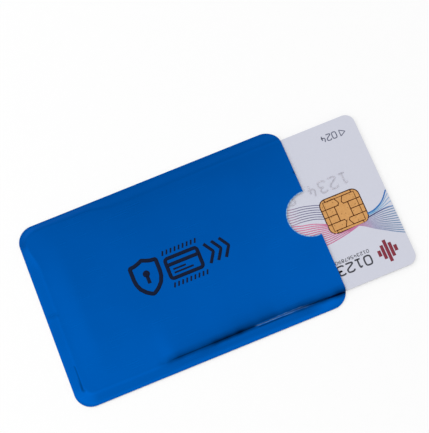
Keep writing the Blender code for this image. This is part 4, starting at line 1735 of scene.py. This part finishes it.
    def build_lines(self) -> None:
        """Print the two bands of fine lines that cross by the chip, and the two bold sweeps over them."""
        count, faint_share = self.upper_line_count, self.upper_faint_share
        past = self.upper_past_chip_shares, self.upper_past_chip_every
        upper = self.band(self.upper_guides, count, faint_share, *past)
        lower = self.band(self.lower_guides, self.lower_line_count, 1, self.lower_past_chip_shares)
        spacing = self.line_spacing
        self.printed("lower_line_band", lower, self.lower_line_width, LOWER_LINE_INK, spacing)
        self.printed("upper_line_band", upper, self.upper_line_width, UPPER_LINE_INK, spacing)
        top = self.lower_line_count + 1
        line = through(list(self.blue_sweep), self.sweep_steps)
        blue = self.laid(line, False, self.blue_breadth_shares, top)
        line = through(list(self.navy_sweep), self.sweep_steps)
        navy = self.laid(line, False, self.navy_breadth_shares, top + 1)
        self.printed("blue_sweep", [blue], self.sweep_width, BLUE_INK, spacing)
        self.printed("navy_sweep", [navy], self.sweep_width, NAVY_INK, spacing)

    def build_marks(self) -> None:
        """Print the way-in mark, two rows of plain digits and a hatched diamond."""
        z = self.top_z + self.ink_lift
        spacing, digit_spacing = self.line_spacing, self.digit_spacing
        arrow = self.laid(list(self.pointer), True)
        self.printed("way_in_pointer", [arrow], self.pointer_width, GREY_INK, spacing)
        small, large, fine = [row.strokes(z) for row in (self.small_row, self.large_row, self.fine_row)]
        self.printed("way_in_digits", small, self.small_width, GREY_INK, digit_spacing)
        self.printed("large_digits", large, self.large_width, TEXT_INK, digit_spacing)
        self.printed("small_digits", fine, self.fine_width, TEXT_INK, self.fine_spacing)
        x, y = self.diamond_middle
        bars = []
        for index in range(-self.bars_on_a_side, self.bars_on_a_side + 1):
            offset = index * self.bar_pitch
            half = self.diamond_reach - abs(offset)
            bars.append(self.laid([(x + offset, y - half), (x + offset, y + half)]))
        self.printed("hatched_diamond", bars, self.bar_width, RED_INK, spacing)

    def characters(self, z: float) -> list[Stroke]:
        """The strokes of the plain number and date at a height."""
        return self.number.strokes(z) + self.date.strokes(z)

    def build_embossing(self) -> None:
        """Raise the plain number from the card."""
        raised = self.characters(self.top_z - self.ink_lift)
        profile = self.emboss_width, self.emboss_height, self.fine_spacing
        piece = STROKES.run("embossed_number", raised, *profile, TIPPED_PLASTIC, domed=True)
        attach(piece, Body.CARD.value)
        log.info("embossed number: %d faces", len(piece.data.polygons))
        # The hollows behind the characters show as grooves in shade, drawn as thin darker lines.
        sunk = self.characters(self.back_z - self.ink_lift)
        self.printed("number_hollows", sunk, self.hollow_width, HOLLOW, self.line_spacing)


@dataclass
class ChipSeat:
    """Hot-melt glue and cut plastic round the chip module, darkened as painted shade of the gap."""

    middle: Point = CHIP_MIDDLE
    halves: Point = (0.00661, 0.00601)
    corner: float = 0.00231
    corner_steps: int = 10
    line_width: float = 0.00034
    line_height: float = 0.000016
    spacing: float = 0.0002
    z: float = 0.001132

    def build(self) -> None:
        """Run the line round the module."""
        line = rounded_rectangle(self.middle, self.halves, self.corner, self.corner_steps)
        stroke = Stroke([(x, y, self.z) for x, y in line], True)
        width, height = self.line_width, self.line_height
        piece = STROKES.run("chip_seat_line", [stroke], width, height, self.spacing, SEAT_GLUE_AND_GAP_SHADE)
        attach(piece, Body.CARD.value)
        log.info("chip seat line: %d faces", len(piece.data.polygons))


@dataclass
class Carried:
    """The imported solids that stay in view, each with its real finish."""

    finishes: tuple[tuple[Finish, tuple[str, ...]], ...] = (
        (BACK_FOIL, ("back_foil",)),
        (PAPER, ("back_liner",)),
        (GLUE, ("upper_seam_glue", "lower_seam_glue", "end_seam_glue", "chip_bonding_ring")),
        (CARD_FACE, ("card_front_overlay", "card_back_overlay")),
        (PRINT_SHEET, ("card_front_print_sheet", "card_back_print_sheet")),
        (CORE, ("card_inlay",)),
        (ETCHED, ("antenna_coil",)),
        (OXIDE, ("magnetic_stripe",)),
        (WRITING, ("signature_panel",)),
        (TAPE, ("chip_tape",)),
        (SILICON, ("chip_die",)),
        (RESIN, ("chip_potting",)),
        (
            GOLD,
            (
                "chip_centre_pad", "contact_c1_supply", "contact_c2_reset", "contact_c3_clock",
                "contact_c4_spare", "contact_c5_ground", "contact_c6_programming", "contact_c7_data",
                "contact_c8_spare",
            ),
        ),
    )

    def dress(self) -> None:
        """Give every carried solid its finish."""
        for finish, names in self.finishes:
            for name in names:
                finish.coat(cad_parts[name])
            log.info("%s on %d solids", finish.name, len(names))


@dataclass(frozen=True)
class Fade:
    """A smooth change of the surround's level along one axis, between two places on one side of it."""

    name: str
    axis: int
    side: int
    start: float
    end: float
    end_share: float

    def level(self, tree: Tree, axes: bpy.types.bpy_prop_collection) -> Node:
        """Add the node of this fade.

        Args:
            tree: The world's nodes.
            axes: The sockets of the three coordinates.

        Returns:
            A factor that is 1 up to the start and the end share from the end on.
        """
        places = {"From Min": self.side * self.start, "From Max": self.side * self.end}
        levels = {"Value": axes[self.axis], "To Min": 1, "To Max": self.end_share}
        return add(tree, "ShaderNodeMapRange", {**SMOOTH, "label": self.name}, {**levels, **places})


@dataclass
class Studio:
    """The camera, the pale floor, a soft key lamp and even light from all round."""

    lens: float = 118.52
    sensor: float = 36
    nearest: float = 0.01
    farthest: float = 20
    camera_place: Place = (-0.0027197, -0.1232838, 0.4344763)
    camera_right: Place = (0.9267425, -0.3683712, -0.0738306)
    camera_down: Place = (-0.3733872, -0.8813264, -0.2895613)
    camera_ahead: Place = (0.0415972, 0.2959161, -0.9543078)
    floor_half_size: float = 3.0
    floor_z: float = -0.00003
    sky_level: float = 0.80
    window_level: float = 1.075
    fades: tuple[Fade, ...] = (
        Fade("behind", 1, 1, 0.14, 0.44, 0.58),
        Fade("low_behind", 1, 1, 0.45, 0.80, 1.26),
        Fade("low_in_front", 1, -1, 0.16, 0.84, 0.36),
        Fade("right", 0, 1, 0.03, 0.17, 1.47),
        Fade("left", 0, -1, 0.0, 0.16, 1.53),
        Fade("far_right", 0, 1, 0.24, 0.60, 0.80),
        Fade("far_left", 0, -1, 0.34, 0.70, 0.88),
    )
    key_power: float = 3.0
    key_size: float = 0.9
    key_place: Place = (-0.50, 0.16, 0.80)

    def place_camera(self) -> None:
        """Set the camera where the fitted view has it."""
        data = bpy.data.cameras.new("camera")
        data.lens = self.lens
        data.sensor_width = self.sensor
        data.sensor_fit = "AUTO"
        data.clip_start = self.nearest
        data.clip_end = self.farthest
        camera = bpy.data.objects.new("camera", data)
        bpy.context.scene.collection.objects.link(camera)
        up = -Vector(self.camera_down)
        back = -Vector(self.camera_ahead)
        turn = Matrix((self.camera_right, up, back)).transposed().to_4x4()
        camera.matrix_world = Matrix.Translation(self.camera_place) @ turn
        bpy.context.scene.camera = camera

    def lay_floor(self) -> None:
        """Lay the pale floor."""
        half, z = self.floor_half_size, self.floor_z
        mesh = bpy.data.meshes.new("floor")
        corners = [(-half, -half, z), (half, -half, z), (half, half, z), (-half, half, z)]
        mesh.from_pydata(corners, [], [(0, 1, 2, 3)])
        floor = new_piece("floor", mesh)
        STUDIO_PAPER.coat(floor)

    def light(self) -> None:
        """Light the object: a white surround that metal also shows, and one soft lamp.

        The surround that metal shows is brightest overhead and a little to both sides, darker behind,
        as round a table under a large soft box, and darkest low down in front.
        """
        world = bpy.data.worlds.new("studio")
        bpy.context.scene.world = world
        world.use_nodes = True
        tree = world.node_tree
        tree.nodes.clear()
        ray = add(tree, "ShaderNodeLightPath").outputs
        way = add(tree, "ShaderNodeTexCoord").outputs["Generated"]
        axes = add(tree, "ShaderNodeSeparateXYZ", inputs={0: way}).outputs
        room: Node | float = self.window_level
        for fade in self.fades:
            room = add(tree, "ShaderNodeMath", TIMES, {0: room, 1: fade.level(tree, axes)})
        by_ray = {"Factor": ray["Is Glossy Ray"], "A": self.sky_level, "B": room}
        in_metal = add(tree, "ShaderNodeMix", NUMBERS, by_ray)
        straight = {0: ray["Is Camera Ray"], 1: ray["Is Transmission Ray"]}
        plain = add(tree, "ShaderNodeMath", LARGER, straight)
        level = add(tree, "ShaderNodeMix", NUMBERS, {"Factor": plain, "A": in_metal, "B": 1})
        sky = add(tree, "ShaderNodeBackground", inputs={"Color": linear("FFFFFF"), "Strength": level})
        add(tree, "ShaderNodeOutputWorld", inputs={"Surface": sky})
        lamp = bpy.data.lights.new("key_lamp", "AREA")
        lamp.size = self.key_size
        lamp.energy = self.key_power
        key = bpy.data.objects.new("key_lamp", lamp)
        bpy.context.scene.collection.objects.link(key)
        key.location = self.key_place
        key.rotation_euler = (-Vector(self.key_place)).to_track_quat("-Z", "Y").to_euler()
        key.visible_glossy = False

    def build(self) -> None:
        """Set the whole studio up."""
        self.place_camera()
        self.lay_floor()
        self.light()
        bpy.context.scene.view_settings.view_transform = "Standard"


def main() -> None:
    """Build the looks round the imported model, in order."""
    logging.basicConfig(level=logging.INFO, format="%(message)s")
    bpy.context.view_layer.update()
    Studio().build()
    Carried().dress()
    sheet = FrontSheet()
    sheet.build()
    SleevePrint(sheet).build()
    face = CardFace()
    face.build_lines()
    face.build_marks()
    face.build_embossing()
    ChipSeat().build()


if __name__ == "__main__":
    main()
